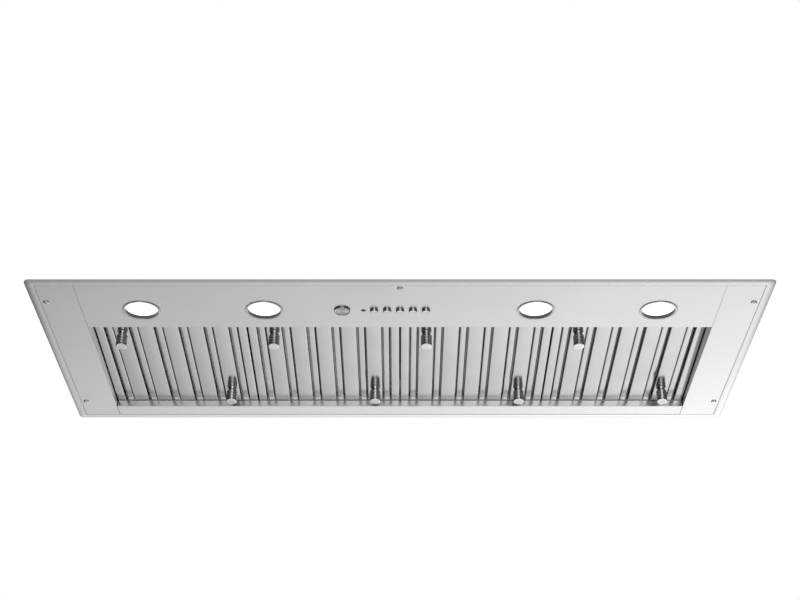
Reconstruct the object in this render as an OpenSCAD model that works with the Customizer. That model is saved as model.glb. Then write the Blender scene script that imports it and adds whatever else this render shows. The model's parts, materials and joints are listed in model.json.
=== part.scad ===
// Built-in ventilation hood: a stainless surround with lights, push buttons and four
// drop-down baffle filters, below a housing with a twin-wheel blower and a duct collar.
// The origin is the middle of the fixing screws, in the flange's upper face.
// +X is the user's right, +Y the rear and +Z up.

/* [Surround] */
// Overall width
hood_w = 1160; // [1080:10:1400]
// Overall depth
hood_d = 488; // [440:2:590]
// Width of the outer band left showing round the panels
band_w = 14; // [10:1:18]
// Thickness of the flange's upper plate
flange_t = 2.4; // [1.6:0.2:3]
// How far the upper plate stands back from the flange's rim
plate_inset = 9; // [7:0.5:11]
// Thickness of the folded panels under the flange
panel_t = 2.2; // [1.6:0.2:3]
// Radius of the flange's corners
corner_r = 8; // [2:1:12]
// Thickness of the folded sheet inside
sheet_t = 1.2; // [0.8:0.1:1.5]
// Width of each side panel
side_panel_w = 60; // [54:1:66]
// Depth of the control panel, front to back
control_panel_d = 134; // [128:1:140]
// Depth of the rear panel, front to back
rear_panel_d = 33; // [28:1:36]

/* [Filters] */
// Free gap between neighbouring filters
filter_gap = 2; // [1.5:0.1:2.5]
// Depth of the fixed shelf in front of the filters
shelf_len = 23; // [20:1:60]
// Thickness of a filter
filter_t = 11; // [10:0.5:12]
// Slope of the filters, lower at the rear, in degrees
filter_slope = 2.6; // [1:0.1:3]
// Slots in each filter
slot_n = 6; // [5:1:7]
// Width of a slot between two lower channels
slot_w = 15.5; // [12:0.5:17]
// Width of the flat border at a filter's sides
border_w = 14.5; // [12:0.5:16]
// Thickness of the filter sheet
baffle_t = 0.8; // [0.6:0.1:1]
// How far the filters drop, in degrees
filter_drop = 75; // [60:5:80]

/* [Grip knobs] */
// Diameter of a grip knob
knob_d = 18.5; // [16:0.5:20]
// Height of a grip knob below the filter
knob_h = 24; // [20:1:26]
// Distance from the filter's end to the knob's middle
knob_inset = 38; // [32:1:44]

/* [Lights] */
// Distance from the control panel's end to the outer light
light_inset = 95; // [70:1:110]
// Distance between the outer and the inner light
light_pitch = 195; // [150:1:205]
// Diameter of the lens
lens_d = 52; // [44:1:54]
// Height of a light above the panel's face
light_h = 33; // [30:1:34]
// Depth from the panel's face to the lens
lens_recess = 5; // [3:0.5:6]

/* [Controls] */
// Distance from the front edge to the row of lights and buttons
control_inset = 93.5; // [88:0.5:98]
// Diameter of a push button
button_d = 13; // [11:0.5:14]
// Distance between the buttons
button_pitch = 20.6; // [19.5:0.1:22]
// How far a button stands out of the panel
button_out = 4; // [3:0.5:5]
// Travel of a button
button_travel = 1.8; // [1:0.1:2]
// Diameter of the round badge
badge_d = 26; // [20:1:28]
// Diameter of the pilot light
pilot_d = 8; // [6:0.5:9]

/* [Fixing] */
// Distance from the hood's side to the fixing screws
screw_inset_x = 22.5; // [20:0.5:26]
// Distance from the hood's front and rear edges to the corner screws
screw_inset_y = 67; // [40:1:90]
// Distance from the front edge to the middle screw
front_screw_inset = 24; // [20:1:26]
// Diameter of a screw's shank
screw_d = 4; // [3:0.5:5]
// Length of shank above the flange
screw_out = 9; // [8:1:20]

/* [Housing] */
// How far the flange stands out at the housing's sides
lap_x = 55; // [48:1:58]
// How far the flange stands out at the housing's front and back
lap_y = 36; // [34:1:38]
// Height of the housing at the rear
shell_h = 190; // [186:2:210]
// Height of the housing's front wall, below its slope
shell_front_h = 16; // [15:0.5:24]
// Depth of the housing's flat top, at the rear
shell_flat_d = 108; // [90:1:120]
// Outer diameter of the duct collar, on the back wall
collar_d = 148; // [140:1:149]
// Length of the duct collar
collar_len = 36; // [30:1:45]

/* [Blower] */
// Distance from the shaft to the housing's back wall
axis_inset = 137; // [132:1:142]
// Gap between the wheels and the scrolls at their tongues
tongue_gap = 6; // [4:0.5:8]
// Growth of the scrolls' radius from the tongue to the outlet
scroll_grow = 12; // [8:1:16]
// Width of each impeller wheel
wheel_w = 90; // [80:2:100]
// Blades on each wheel
blade_n = 32; // [24:2:36]
// Diameter of the motor
motor_d = 88; // [80:2:92]
// Length of the motor
motor_len = 116; // [104:2:120]
// Diameter of the motor shaft
shaft_d = 12; // [10:1:14]

/* [Hidden] */

$fn = 48;
// Overlap that joins two shapes of one piece
bite = 0.4;
// Overshoot of a cut past the face that it opens
over = 1;
// Play round what moves or is pushed in
play = 0.3;

// Surround: levels and edges
panel_top_z = -flange_t;
face_z = -flange_t - panel_t;
front_y = -hood_d / 2;
rear_y = hood_d / 2;
panel_front_y = front_y + band_w;
panel_back_y = rear_y - band_w;
panel_out_x = hood_w / 2 - band_w;
bay_half = panel_out_x - side_panel_w;
bay_front_y = panel_front_y + control_panel_d;
bay_rear_y = panel_back_y - rear_panel_d;
shell_w = hood_w - 2 * lap_x;
shell_d = hood_d - 2 * lap_y;
shell_slope = atan((shell_h - shell_front_h) / (shell_d - shell_flat_d));
shell_in_x = shell_w / 2 - sheet_t;
shell_in_y = shell_d / 2 - sheet_t;
seam_gap = 0.4;
upstand_h = 34;
rear_upstand_h = 22;

// Filters: the pivot is the origin of each filter's own frame
filter_n = 4;
filter_pitch = 2 * bay_half / filter_n;
filter_w = filter_pitch - filter_gap;
pivot_inset = 5;
filter_rear_gap = 1.2;
rear_face_z = 12;
shelf_gap = 9;
shelf_end_y = bay_front_y + shelf_len;
pivot_y = shelf_end_y + shelf_gap;
filter_len = pivot_inset + (bay_rear_y - filter_rear_gap - pivot_y) / cos(filter_slope);
pivot_z = face_z + rear_face_z + filter_t / 2 * cos(filter_slope)
    + (filter_len - pivot_inset) * sin(filter_slope);
flat_w = (filter_w - 2 * border_w - slot_n * slot_w) / (slot_n - 1);
slot_pitch = flat_w + slot_w;
lip_h = 5.2;
cap_over = 6;
cap_gap = 0.6;
rail_top_w = 8;
notch_w = 8;
notch_d = pivot_inset + 10;
corner_block = 14;
block_play = 0.2;
pin_r = 2.5;
pin_end = 1.5;
ear_t = 1.6;
ear_x = 5;
ear_r = 6;

// Filter shelf and wiring cover
shelf_z = pivot_z - ear_r;
shelf_lip_h = 9;
shelf_foot = 14;
cover_y = bay_front_y + 6;

// Grip knobs
knob_r = knob_d / 2;
knob_ring_pitch = 5.5;
knob_ring_n = 3;
knob_groove = 1.6;
knob_edge = 1.5;
knob_neck_h = 4;
knob_neck_share = 0.75;
knob_x = border_w + slot_w + flat_w / 2;

// Lights
light_y = front_y + control_inset;
light_outer_x = bay_half - light_inset;
light_inner_x = light_outer_x - light_pitch;
light_x = [-light_outer_x, -light_inner_x, light_inner_x, light_outer_x];
lens_r = lens_d / 2;
lens_t = 3;
bezel_w = 3;
bezel_t = 1;
light_wall = 1.4;
fin_n = 12;
fin_t = 2;
fin_h = 14;
fin_in = 8;
fin_inset = 1;
light_core_r = 9;
light_floor = 4;
lens_play = 0.05;

// Controls
button_n = 5;
button_r = button_d / 2;
button_edge = 1.2;
button_dome = 0.3;
button_collar = 1.7;
button_collar_t = 1.5;
stem_r = 3;
stem_top_z = 10;
carrier_half = 52;
carrier_half_d = 13;
carrier_z = 7;
carrier_post = 6;
board_z = stem_top_z + button_travel + 4.2;
board_t = 1.6;
switch_w = 6;
plunger_r = 1.75;
plunger_gap = 0.2;
plunger_h = 0.6;
pilot_x = button_x(1) - 16.8;
pilot_out = 1.2;
pilot_in = 3;
pilot_flat = 0.7;
pilot_crown = 0.25;
badge_x = pilot_x - 34;
badge_t = 2.5;
badge_ring_n = 3;
badge_rim = 1.6;
badge_groove = 0.6;

// Fixing screws
screw_span_x = hood_w - 2 * screw_inset_x;
screw_span_y = hood_d - 2 * screw_inset_y;
screw_r = screw_d / 2;
screw_hole_r = screw_r + 0.5;
shoulder_r = screw_hole_r - 0.2;
head_r = 4.6;
head_h = 1.8;
recess_r = 1.6;
recess_h = 1;

// Housing: the slope of its front and the levels of what hangs in it
collar_r = collar_d / 2;
collar_in_r = collar_r - sheet_t;
collar_flange = 8;
discharge_z0 = 24;
discharge_z1 = shell_h - sheet_t - 2;
collar_z = (discharge_z0 + discharge_z1) / 2;

// Blower
axis_y = shell_in_y - axis_inset;
axis_z = shell_h / 2;
roof_gap = 2;
scroll_end_r = (slope_z(axis_y, sheet_t) - axis_z) * cos(shell_slope) - roof_gap;
scroll_start_r = scroll_end_r - scroll_grow;
wheel_r = scroll_start_r - tongue_gap;
tongue_deg = 25;
scroll_end_deg = 270;
scroll_steps = 20;
motor_r = motor_d / 2;
motor_end_len = 12;
motor_end_share = 0.7;
wheel_in_x = motor_len / 2 + 24;
scroll_in_x = wheel_in_x - 6;
scroll_out_x = wheel_in_x + wheel_w + 8;
inlet_r = wheel_r - 10;
hub_r = 14;
hub_len = 22;
disc_t = 1.5;
blade_t = 1;
blade_chord = 11;
blade_tilt = 32;
blade_in = 1.5;
shaft_r = shaft_d / 2;
shaft_out = 4;
bearing_play = 0.05;
outlet_z0 = axis_z + scroll_start_r * sin(tongue_deg);
outlet_z1 = axis_z + scroll_end_r;
discharge_len = 57;
outlet_y = shell_in_y - discharge_len;
discharge_half = scroll_out_x + 10;
clamp_x = 40;
clamp_w = 8;
clamp_t = 4;
clamp_arm = 30;

// Damper, in the collar's own frame: z along the duct, x across it
pin_end_y = collar_in_r - 8;
damper_pin_r = 2.5;
damper_depth = 12;
knuckle_r = 4.3;
knuckle_in_r = damper_pin_r + play;
flap_t = 0.8;
flap_r = collar_in_r - 1.8;
flap_start = knuckle_r + 1.1;
knuckle_gap = 3;
pin_boss = 10;
pin_seat = 2;
boss_clear = pin_boss / 2 * sqrt(2) + flap_t + play;
knuckle_len = (pin_end_y - pin_boss / 2 - 2 * knuckle_gap) / 2;

// Electrical parts
control_box_size = [100, 60, 29];
control_box_x = 75;
control_box_wall = 1.5;
board_margin = 8;
relay_n = 3;
relay_inset = 11;
relay_pitch = 24;
relay_size = [16, 14, 12];
post_inset = 6;
post_r = 2;
driver_size = [66, 44, 24];
driver_foot = 10;
driver_gap = 0.6;
driver_x = light_x[1] + lens_r + light_wall + driver_gap + driver_foot;
driver_foot_t = 1.5;
capacitor_r = 15;
capacitor_len = 80;
capacitor_z = 52;
capacitor_gap = 4;
capacitor_foot = [20, 12];
junction_size = [70, 90, 50];
junction_inset = 16;
junction_y = shell_in_y - junction_inset - junction_size[1];
junction_z = 44;
junction_wall = 1.5;
bushing_r = 6.5;
bushing_out_r = 10;
bushing_flange_r = 13;
bushing_flange_t = 3;
bushing_z = junction_z + 25;

steel = "silver";
sheet = "gainsboro";
bright = "whitesmoke";
dark = "dimgray";

// ---------- Shared shapes ----------

// A box from one corner to the opposite one
module box(low, high) {
    translate(low) cube(high - low);
}

// A ring or tube that stands on the XY plane
module tube(outer_r, inner_r, h) {
    difference() {
        cylinder(r = outer_r, h = h);
        translate([0, 0, -over]) cylinder(r = inner_r, h = h + 2 * over);
    }
}

// A profile drawn in Y and Z, extruded along X from x0 to x1
module along_x(x0, x1) {
    translate([x0, 0, 0]) rotate([90, 0, 90]) linear_extrude(x1 - x0) children();
}

// A profile drawn in X and Z, extruded along Y from y0 to y1
module along_y(y0, y1) {
    translate([0, y1, 0]) rotate([90, 0, 0]) linear_extrude(y1 - y0) children();
}

// A shape made at the right-hand side, moved to the side s (1 right, -1 left)
module on_side(s) {
    if (s > 0) children();
    else mirror([1, 0, 0]) children();
}

module screw_places() {
    for (x = [-1, 1], y = [-1, 1])
        translate([x * screw_span_x / 2, y * screw_span_y / 2, 0]) children();
    translate([0, front_y + front_screw_inset, 0]) children();
}

module screw_holes() {
    screw_places() translate([0, 0, face_z - over])
        cylinder(r = screw_hole_r, h = panel_t + flange_t + 2 * over);
}

// ---------- Surround ----------

// Outline with rounded corners that stands back from the hood's edge by d
module rounded_outline(d) {
    w = hood_w - 2 * d;
    depth = hood_d - 2 * d;
    square([w - 2 * corner_r, depth], center = true);
    square([w, depth - 2 * corner_r], center = true);
    for (x = [-1, 1], y = [-1, 1])
        translate([x * (w / 2 - corner_r), y * (depth / 2 - corner_r)]) circle(r = corner_r);
}

// Flange: a rim flush with the panels, and a plate over them that stands back from it
module flange_frame() {
    rim_in = [panel_out_x + seam_gap, -panel_front_y + seam_gap];
    color(steel) difference() {
        union() {
            difference() {
                translate([0, 0, face_z]) linear_extrude(panel_t + bite) rounded_outline(0);
                box([-rim_in[0], -rim_in[1], face_z - over], [rim_in[0], rim_in[1], over]);
            }
            translate([0, 0, -flange_t]) linear_extrude(flange_t) rounded_outline(plate_inset);
        }
        box([-shell_w / 2, -shell_d / 2, -flange_t - over], [shell_w / 2, shell_d / 2, over]);
        screw_holes();
    }
}

// Side panel: a flat face with an upstand along the filter bay
module side_panel(s) {
    color(steel) on_side(s) difference() {
        union() {
            box([bay_half, panel_front_y, face_z], [panel_out_x, panel_back_y, panel_top_z]);
            box([bay_half, bay_front_y + sheet_t, face_z],
                [bay_half + sheet_t, bay_rear_y, face_z + upstand_h]);
        }
        screw_holes();
    }
}

// Control panel: holes for the lights, buttons and pilot light
module control_panel() {
    color(steel) difference() {
        box([-bay_half + seam_gap, panel_front_y, face_z],
            [bay_half - seam_gap, bay_front_y, panel_top_z]);
        screw_holes();
        for (x = light_x) translate([x, light_y, face_z - over])
            cylinder(r = lens_r + light_wall + play, h = panel_t + 2 * over);
        for (i = [1:button_n]) translate([button_x(i), light_y, face_z - over])
            cylinder(r = button_r + play, h = panel_t + 2 * over);
        translate([pilot_x, light_y, face_z - over])
            cylinder(r = pilot_d / 2, h = panel_t + 2 * over);
    }
}

// Rear panel: a flat strip with an upstand behind the filters
module rear_panel() {
    x1 = bay_half - seam_gap;
    color(steel) union() {
        box([-x1, bay_rear_y, face_z], [x1, panel_back_y, panel_top_z]);
        box([-x1, bay_rear_y, face_z], [x1, bay_rear_y + sheet_t, face_z + rear_upstand_h]);
    }
}

module fixing_screws() {
    color(bright) screw_places() difference() {
        union() {
            translate([0, 0, face_z - head_h]) cylinder(r = head_r, h = head_h);
            translate([0, 0, face_z - bite])
                cylinder(r = shoulder_r, h = -face_z + bite, $fn = 32);
            translate([0, 0, -bite]) cylinder(r = screw_r, h = bite + screw_out, $fn = 32);
        }
        translate([0, 0, face_z - head_h - over])
            cylinder(r = recess_r, h = over + recess_h, $fn = 6);
    }
}

// ---------- Filter shelf and wiring cover ----------

module filter_shelf() {
    x1 = bay_half - seam_gap / 2;
    color(sheet) union() {
        box([-x1, bay_front_y - shelf_foot, panel_top_z],
            [x1, bay_front_y, panel_top_z + sheet_t]);
        box([-x1, bay_front_y - sheet_t, panel_top_z], [x1, bay_front_y, shelf_z]);
        box([-x1, bay_front_y - sheet_t, shelf_z - sheet_t], [x1, shelf_end_y, shelf_z]);
        box([-x1, shelf_end_y - sheet_t, shelf_z - sheet_t],
            [x1, shelf_end_y, shelf_z + shelf_lip_h]);
        for (i = [0:filter_n]) for (s = [-1, 1])
            if (abs(-bay_half + i * filter_pitch + s * ear_x) < bay_half)
                translate([-bay_half + i * filter_pitch + s * ear_x, 0, 0]) pivot_ear();
    }
}

// Ear with a slot, open at the top, that a filter's pin turns in
module pivot_ear() {
    difference() {
        union() {
            translate([-ear_t / 2, pivot_y, pivot_z]) rotate([0, 90, 0])
                cylinder(r = ear_r, h = ear_t);
            box([-ear_t / 2, shelf_end_y - bite, pivot_z - ear_r],
                [ear_t / 2, pivot_y, pivot_z + ear_r / 2]);
        }
        translate([-over, pivot_y, pivot_z]) rotate([0, 90, 0])
            cylinder(r = pin_r + play, h = ear_t + over);
        box([-over, pivot_y - pin_r - play, pivot_z], [over + ear_t, pivot_y + pin_r + play,
            pivot_z + ear_r + over]);
    }
}

// Partition between the wiring and the air, from the shelf up to the sloping front
module wiring_cover() {
    back_y = cover_y + sheet_t;
    color(sheet) difference() {
        along_x(-shell_in_x, shell_in_x) polygon([[cover_y, shelf_z],
            [back_y, shelf_z], [back_y, slope_z(back_y, sheet_t)],
            [cover_y, slope_z(cover_y, sheet_t)]]);
        for (s = [-1, 1]) on_side(s)
            box([bay_half, cover_y - over, shelf_z - over],
                [bay_half + sheet_t, back_y + over, face_z + upstand_h]);
    }
}

// ---------- Housing ----------

// Height of the sloping front at y, inset by the distance t at right angles to it
function slope_z(y, t) = shell_front_h + (y + shell_d / 2) * tan(shell_slope)
    - t / cos(shell_slope);

// Where the sloping front meets the top, both inset by t
function slope_end_y(t) = -shell_d / 2
    + (shell_h - t - shell_front_h + t / cos(shell_slope)) / tan(shell_slope);

// Section of the housing in Y and Z, inset by t and starting at the height z0
function shell_outline(t, z0) = [[-shell_d / 2 + t, z0],
    [-shell_d / 2 + t, slope_z(-shell_d / 2 + t, t)], [slope_end_y(t), shell_h - t],
    [shell_d / 2 - t, shell_h - t], [shell_d / 2 - t, z0]];

module shell_wrap() {
    color(sheet) difference() {
        along_x(-shell_in_x, shell_in_x) polygon(shell_outline(0, panel_top_z));
        along_x(-shell_in_x - over, shell_in_x + over)
            polygon(shell_outline(sheet_t, panel_top_z - over));
        in_collar() translate([0, 0, -sheet_t - over])
            cylinder(r = collar_in_r, h = sheet_t + 2 * over, $fn = 96);
    }
}

module shell_end(s) {
    color(sheet) difference() {
        on_side(s) along_x(shell_in_x, shell_w / 2) polygon(shell_outline(0, panel_top_z));
        if (s < 0) bushing_hole();
    }
}

// Box that gathers both outlets in front of the collar
module discharge_box() {
    low = [-discharge_half, outlet_y, discharge_z0];
    high = [discharge_half, shell_in_y, discharge_z1];
    color(sheet) difference() {
        box(low, high);
        box(low + sheet_t * [1, 1, 1], [high[0] - sheet_t, high[1] + over, high[2] - sheet_t]);
        for (s = [-1, 1]) on_side(s)
            box([scroll_in_x + sheet_t, outlet_y - over, outlet_z0 + sheet_t],
                [scroll_out_x - sheet_t, outlet_y + sheet_t + over, outlet_z1 - sheet_t]);
    }
}

// The collar's own frame: z points to the rear, along the duct
module in_collar() {
    translate([0, shell_d / 2, collar_z]) rotate([-90, 0, 0]) children();
}

module duct_collar() {
    color(sheet) in_collar() difference() {
        union() {
            tube(collar_r, collar_in_r, collar_len, $fn = 96);
            tube(collar_r + collar_flange, collar_in_r, sheet_t, $fn = 96);
            for (s = [-1, 1]) translate([0, s * collar_in_r, damper_depth]) pin_holder(s);
        }
        translate([0, -pin_end_y - pin_seat, damper_depth]) rotate([-90, 0, 0])
            cylinder(r = damper_pin_r + play / 3, h = 2 * (pin_end_y + pin_seat), $fn = 32);
    }
}

// Block on the collar's inner wall that holds one end of the damper pin
module pin_holder(s) {
    half = pin_boss / 2;
    length = collar_in_r - pin_end_y + pin_seat;
    box([-half, s > 0 ? -length : -bite, -half], [half, s > 0 ? bite : length, half]);
}

module damper_pin() {
    color(bright) in_collar() translate([0, -pin_end_y - pin_seat, damper_depth])
        rotate([-90, 0, 0])
            cylinder(r = damper_pin_r, h = 2 * (pin_end_y + pin_seat), $fn = 32);
}

// Half disc with two knuckles on the damper pin
module damper_flap(s) {
    // The knuckles of the two flaps take turns along the pin
    starts = s > 0 ? [-2 * knuckle_len - 1.5 * knuckle_gap, knuckle_gap / 2]
        : [-knuckle_len - knuckle_gap / 2, knuckle_len + 1.5 * knuckle_gap];
    side_y = pin_end_y - pin_boss;
    color(sheet) in_collar() translate([0, 0, damper_depth]) on_side(s) difference() {
        union() {
            intersection() {
                translate([0, 0, -flap_t / 2]) cylinder(r = flap_r, h = flap_t, $fn = 96);
                union() {
                    box([flap_start, -side_y, -over], [flap_r, side_y, over]);
                    box([boss_clear, -flap_r, -over], [flap_r, flap_r, over]);
                }
            }
            for (y = starts) {
                translate([0, y, 0]) rotate([-90, 0, 0])
                    cylinder(r = knuckle_r, h = knuckle_len, $fn = 32);
                box([0, y, -flap_t / 2], [flap_start + bite, y + knuckle_len, flap_t / 2]);
            }
        }
        translate([0, -collar_r, 0]) rotate([-90, 0, 0])
            cylinder(r = knuckle_in_r, h = collar_d, $fn = 32);
    }
}

// ---------- Blower ----------

// The scroll's spiral starts at the tongue, just above the rear, and grows as it goes
// down, forward and up to the top. Angles run from +Y towards -Z.
function spiral_r(deg) = scroll_start_r
    + scroll_grow * (deg + tongue_deg) / (scroll_end_deg + tongue_deg);

// Outline of the scroll's chamber in Y and Z, inset by t, with its mouth at mouth_y
function scroll_outline(t, mouth_y) = let (
    start = -asin((scroll_start_r * sin(tongue_deg) + t) / (scroll_start_r - t)),
    step = (scroll_end_deg - start) / scroll_steps) concat(
    [[mouth_y, outlet_z0 + t]],
    [for (k = [0:scroll_steps]) let (deg = start + k * step, r = spiral_r(deg) - t)
        [axis_y + r * cos(deg), axis_z - r * sin(deg)]],
    [[mouth_y, outlet_z1 - t]]);

module scroll(s) {
    color(sheet) on_side(s) difference() {
        along_x(scroll_in_x, scroll_out_x) polygon(scroll_outline(0, outlet_y));
        along_x(scroll_in_x + sheet_t, scroll_out_x - sheet_t)
            polygon(scroll_outline(sheet_t, outlet_y + over));
        translate([scroll_in_x - over, axis_y, axis_z]) rotate([0, 90, 0])
            cylinder(r = inlet_r, h = scroll_out_x - scroll_in_x + 2 * over);
    }
}

module motor() {
    color(dark) translate([-motor_len / 2, axis_y, axis_z]) rotate([0, 90, 0]) difference() {
        union() {
            translate([0, 0, motor_end_len])
                cylinder(r = motor_r, h = motor_len - 2 * motor_end_len);
            cylinder(r = motor_r * motor_end_share, h = motor_len);
        }
        translate([0, 0, -over])
            cylinder(r = shaft_r + bearing_play, h = motor_len + 2 * over);
    }
}

module motor_clamps() {
    color(sheet) for (s = [-1, 1]) translate([s * clamp_x - clamp_w / 2, 0, 0]) difference() {
        union() {
            translate([0, axis_y, axis_z]) rotate([0, 90, 0])
                cylinder(r = motor_r + clamp_t, h = clamp_w);
            box([0, axis_y, axis_z - clamp_arm / 2], [clamp_w, outlet_y, axis_z + clamp_arm / 2]);
        }
        translate([-over, axis_y, axis_z]) rotate([0, 90, 0])
            cylinder(r = motor_r + bearing_play, h = clamp_w + 2 * over);
    }
}

module motor_shaft() {
    reach = wheel_in_x + hub_len + shaft_out;
    color(bright) translate([-reach, axis_y, axis_z]) rotate([0, 90, 0])
        cylinder(r = shaft_r, h = 2 * reach);
}

// Squirrel-cage wheel: a disc and hub, a ring of blades and an end ring
module wheel(s) {
    color(dark) on_side(s) translate([wheel_in_x, axis_y, axis_z]) rotate([0, 90, 0])
        difference() {
            union() {
                cylinder(r = wheel_r, h = disc_t);
                cylinder(r = hub_r, h = hub_len);
                for (i = [0:blade_n - 1]) rotate([0, 0, i * 360 / blade_n])
                    translate([wheel_r - blade_chord + blade_in, 0, disc_t - bite])
                        rotate([0, 0, blade_tilt])
                            cube([blade_chord, blade_t, wheel_w - 2 * disc_t + 2 * bite]);
                translate([0, 0, wheel_w - disc_t]) tube(wheel_r, wheel_r - blade_chord, disc_t);
            }
            translate([0, 0, -over])
                cylinder(r = shaft_r + bearing_play, h = hub_len + 2 * over);
        }
}

// ---------- Electrical parts ----------

module control_box() {
    low = [control_box_x, light_y - control_box_size[1] / 2, panel_top_z];
    wall = control_box_wall * [1, 1, 1];
    color(sheet) difference() {
        box(low, low + control_box_size);
        box(low + wall, low + control_box_size - wall);
    }
}

module control_board() {
    low = [control_box_x, light_y - control_box_size[1] / 2, panel_top_z]
        + board_margin * [1, 1, 1];
    size = [control_box_size[0] - 2 * board_margin, control_box_size[1] - 2 * board_margin,
        board_t];
    post_z = panel_top_z + control_box_wall;
    color("seagreen") union() {
        box(low, low + size);
        for (k = [0:relay_n - 1])
            translate(low + [relay_inset + k * relay_pitch, relay_inset, size[2] - bite])
                cube(relay_size);
        for (x = [post_inset, size[0] - post_inset], y = [post_inset, size[1] - post_inset])
            translate([low[0] + x, low[1] + y, post_z])
                cylinder(r = post_r, h = low[2] - post_z + bite, $fn = 16);
    }
}

// Capacitor with a foot on the back of the wiring cover
module run_capacitor() {
    foot_y = cover_y + sheet_t;
    y = foot_y + capacitor_r + capacitor_gap;
    foot = capacitor_foot / 2;
    color(dark) union() {
        translate([-capacitor_len / 2, y, capacitor_z]) rotate([0, 90, 0])
            cylinder(r = capacitor_r, h = capacitor_len);
        box([-foot[0], foot_y, capacitor_z - foot[1]], [foot[0], y, capacitor_z + foot[1]]);
    }
}

module light_driver() {
    low = [driver_x, light_y - driver_size[1] / 2, panel_top_z];
    color(dark) union() {
        box(low, low + driver_size);
        box(low - [driver_foot, 0, 0],
            low + [driver_size[0] + driver_foot, driver_size[1], driver_foot_t]);
    }
}

// Hole for the bushing through the left end plate and the junction box's wall
module bushing_hole() {
    translate([-shell_w / 2 - over, junction_y + junction_size[1] / 2, bushing_z])
        rotate([0, 90, 0])
            cylinder(r = bushing_out_r, h = sheet_t + junction_wall + 2 * over);
}

// Junction box on the inside of the left end plate, open at the bottom
module junction_box() {
    low = [-shell_in_x, junction_y, junction_z];
    high = low + junction_size;
    color(sheet) difference() {
        box(low, high);
        box([low[0] + junction_wall, low[1] + junction_wall, low[2] - over],
            high - junction_wall * [1, 1, 1]);
        bushing_hole();
    }
}

module junction_cover() {
    low = [-shell_in_x, junction_y, junction_z - junction_wall];
    color(sheet) box(low, low + [junction_size[0], junction_size[1], junction_wall]);
}

// Bushing that the supply cable goes through
module cable_bushing() {
    grip = sheet_t + junction_wall;
    color(dark) translate([-shell_w / 2 - bushing_flange_t,
        junction_y + junction_size[1] / 2, bushing_z]) rotate([0, 90, 0]) difference() {
            union() {
                cylinder(r = bushing_out_r, h = grip + 2 * bushing_flange_t);
                for (z = [0, grip + bushing_flange_t]) translate([0, 0, z])
                    cylinder(r = bushing_flange_r, h = bushing_flange_t);
            }
            translate([0, 0, -over])
                cylinder(r = bushing_r, h = grip + 2 * bushing_flange_t + 2 * over);
        }
}

// ---------- Controls ----------

function button_x(i) = (i - (button_n + 1) / 2) * button_pitch;

// Push button: a domed head, a collar behind the panel and a stem
module button(i) {
    tip_z = face_z - button_out;
    color(bright) translate([button_x(i), light_y, 0]) rotate_extrude() polygon([
        [0, tip_z], [button_r - 2 * button_edge, tip_z + button_dome],
        [button_r - button_edge / 2, tip_z + button_edge / 2],
        [button_r, tip_z + 1.5 * button_edge],
        [button_r, panel_top_z + play],
        [button_r + button_collar, panel_top_z + play],
        [button_r + button_collar, panel_top_z + play + button_collar_t],
        [stem_r, panel_top_z + play + button_collar_t],
        [stem_r, stem_top_z], [0, stem_top_z]]);
}

module switch_carrier() {
    pocket_z = panel_top_z + play + button_collar_t + button_travel + play;
    low = [-carrier_half, light_y - carrier_half_d, panel_top_z];
    color(dark) difference() {
        union() {
            box(low, [carrier_half, light_y + carrier_half_d, carrier_z]);
            for (s = [-1, 1]) on_side(s)
                box([carrier_half - carrier_post, light_y - carrier_half_d, carrier_z - bite],
                    [carrier_half, light_y + carrier_half_d, board_z]);
        }
        for (i = [1:button_n]) translate([button_x(i), light_y, 0]) {
            translate([0, 0, panel_top_z - over])
                cylinder(r = button_r + button_collar + play, h = pocket_z - panel_top_z + over);
            translate([0, 0, pocket_z - over])
                cylinder(r = stem_r + play, h = carrier_z - pocket_z + 2 * over);
        }
    }
}

// Board with one sprung switch over each button's stem
module switch_board() {
    plunger_z = stem_top_z + button_travel + plunger_gap;
    color("seagreen") union() {
        box([-carrier_half, light_y - carrier_half_d, board_z],
            [carrier_half, light_y + carrier_half_d, board_z + board_t]);
        for (i = [1:button_n]) translate([button_x(i), light_y, 0]) {
            box([-switch_w / 2, -switch_w / 2, plunger_z + plunger_h],
                [switch_w / 2, switch_w / 2, board_z + bite]);
            translate([0, 0, plunger_z])
                cylinder(r = plunger_r, h = plunger_h + bite, $fn = 24);
        }
    }
}

module pilot_lens() {
    r = pilot_d / 2;
    color("darkred") translate([pilot_x, light_y, 0]) rotate_extrude() polygon([
        [0, face_z - pilot_out], [r * pilot_flat, face_z - pilot_out * (1 - pilot_crown)],
        [r, face_z], [r, panel_top_z + pilot_in], [0, panel_top_z + pilot_in]]);
}

// Plain round badge with a raised rim and rings
module badge() {
    r = badge_d / 2;
    ring_step = (r - badge_rim) / (badge_ring_n + 1);
    color(steel) translate([badge_x, light_y, face_z - badge_t]) difference() {
        cylinder(r = r, h = badge_t);
        for (i = [1:badge_ring_n]) translate([0, 0, -over])
            tube(i * ring_step + badge_rim / 2, i * ring_step - badge_rim / 2,
                over + badge_groove);
    }
}

// ---------- Lights ----------

// Light body: bezel, sleeve, can and cooling fins
module light_body(i) {
    out_r = lens_r + light_wall;
    top = face_z + light_h;
    color(bright) translate([light_x[i - 1], light_y, 0]) difference() {
        union() {
            translate([0, 0, face_z - bezel_t]) cylinder(r = out_r + bezel_w, h = bezel_t);
            translate([0, 0, face_z - bite])
                cylinder(r = out_r, h = light_h - fin_h + bite);
            for (k = [0:fin_n - 1]) rotate([0, 0, k * 360 / fin_n])
                box([fin_in, -fin_t / 2, top - fin_h - bite], [out_r - fin_inset, fin_t / 2, top]);
            translate([0, 0, top - fin_h - bite]) cylinder(r = light_core_r, h = fin_h + bite);
        }
        translate([0, 0, face_z - bezel_t - over])
            cylinder(r = lens_r, h = bezel_t + over + light_h - fin_h - light_floor);
    }
}

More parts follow.
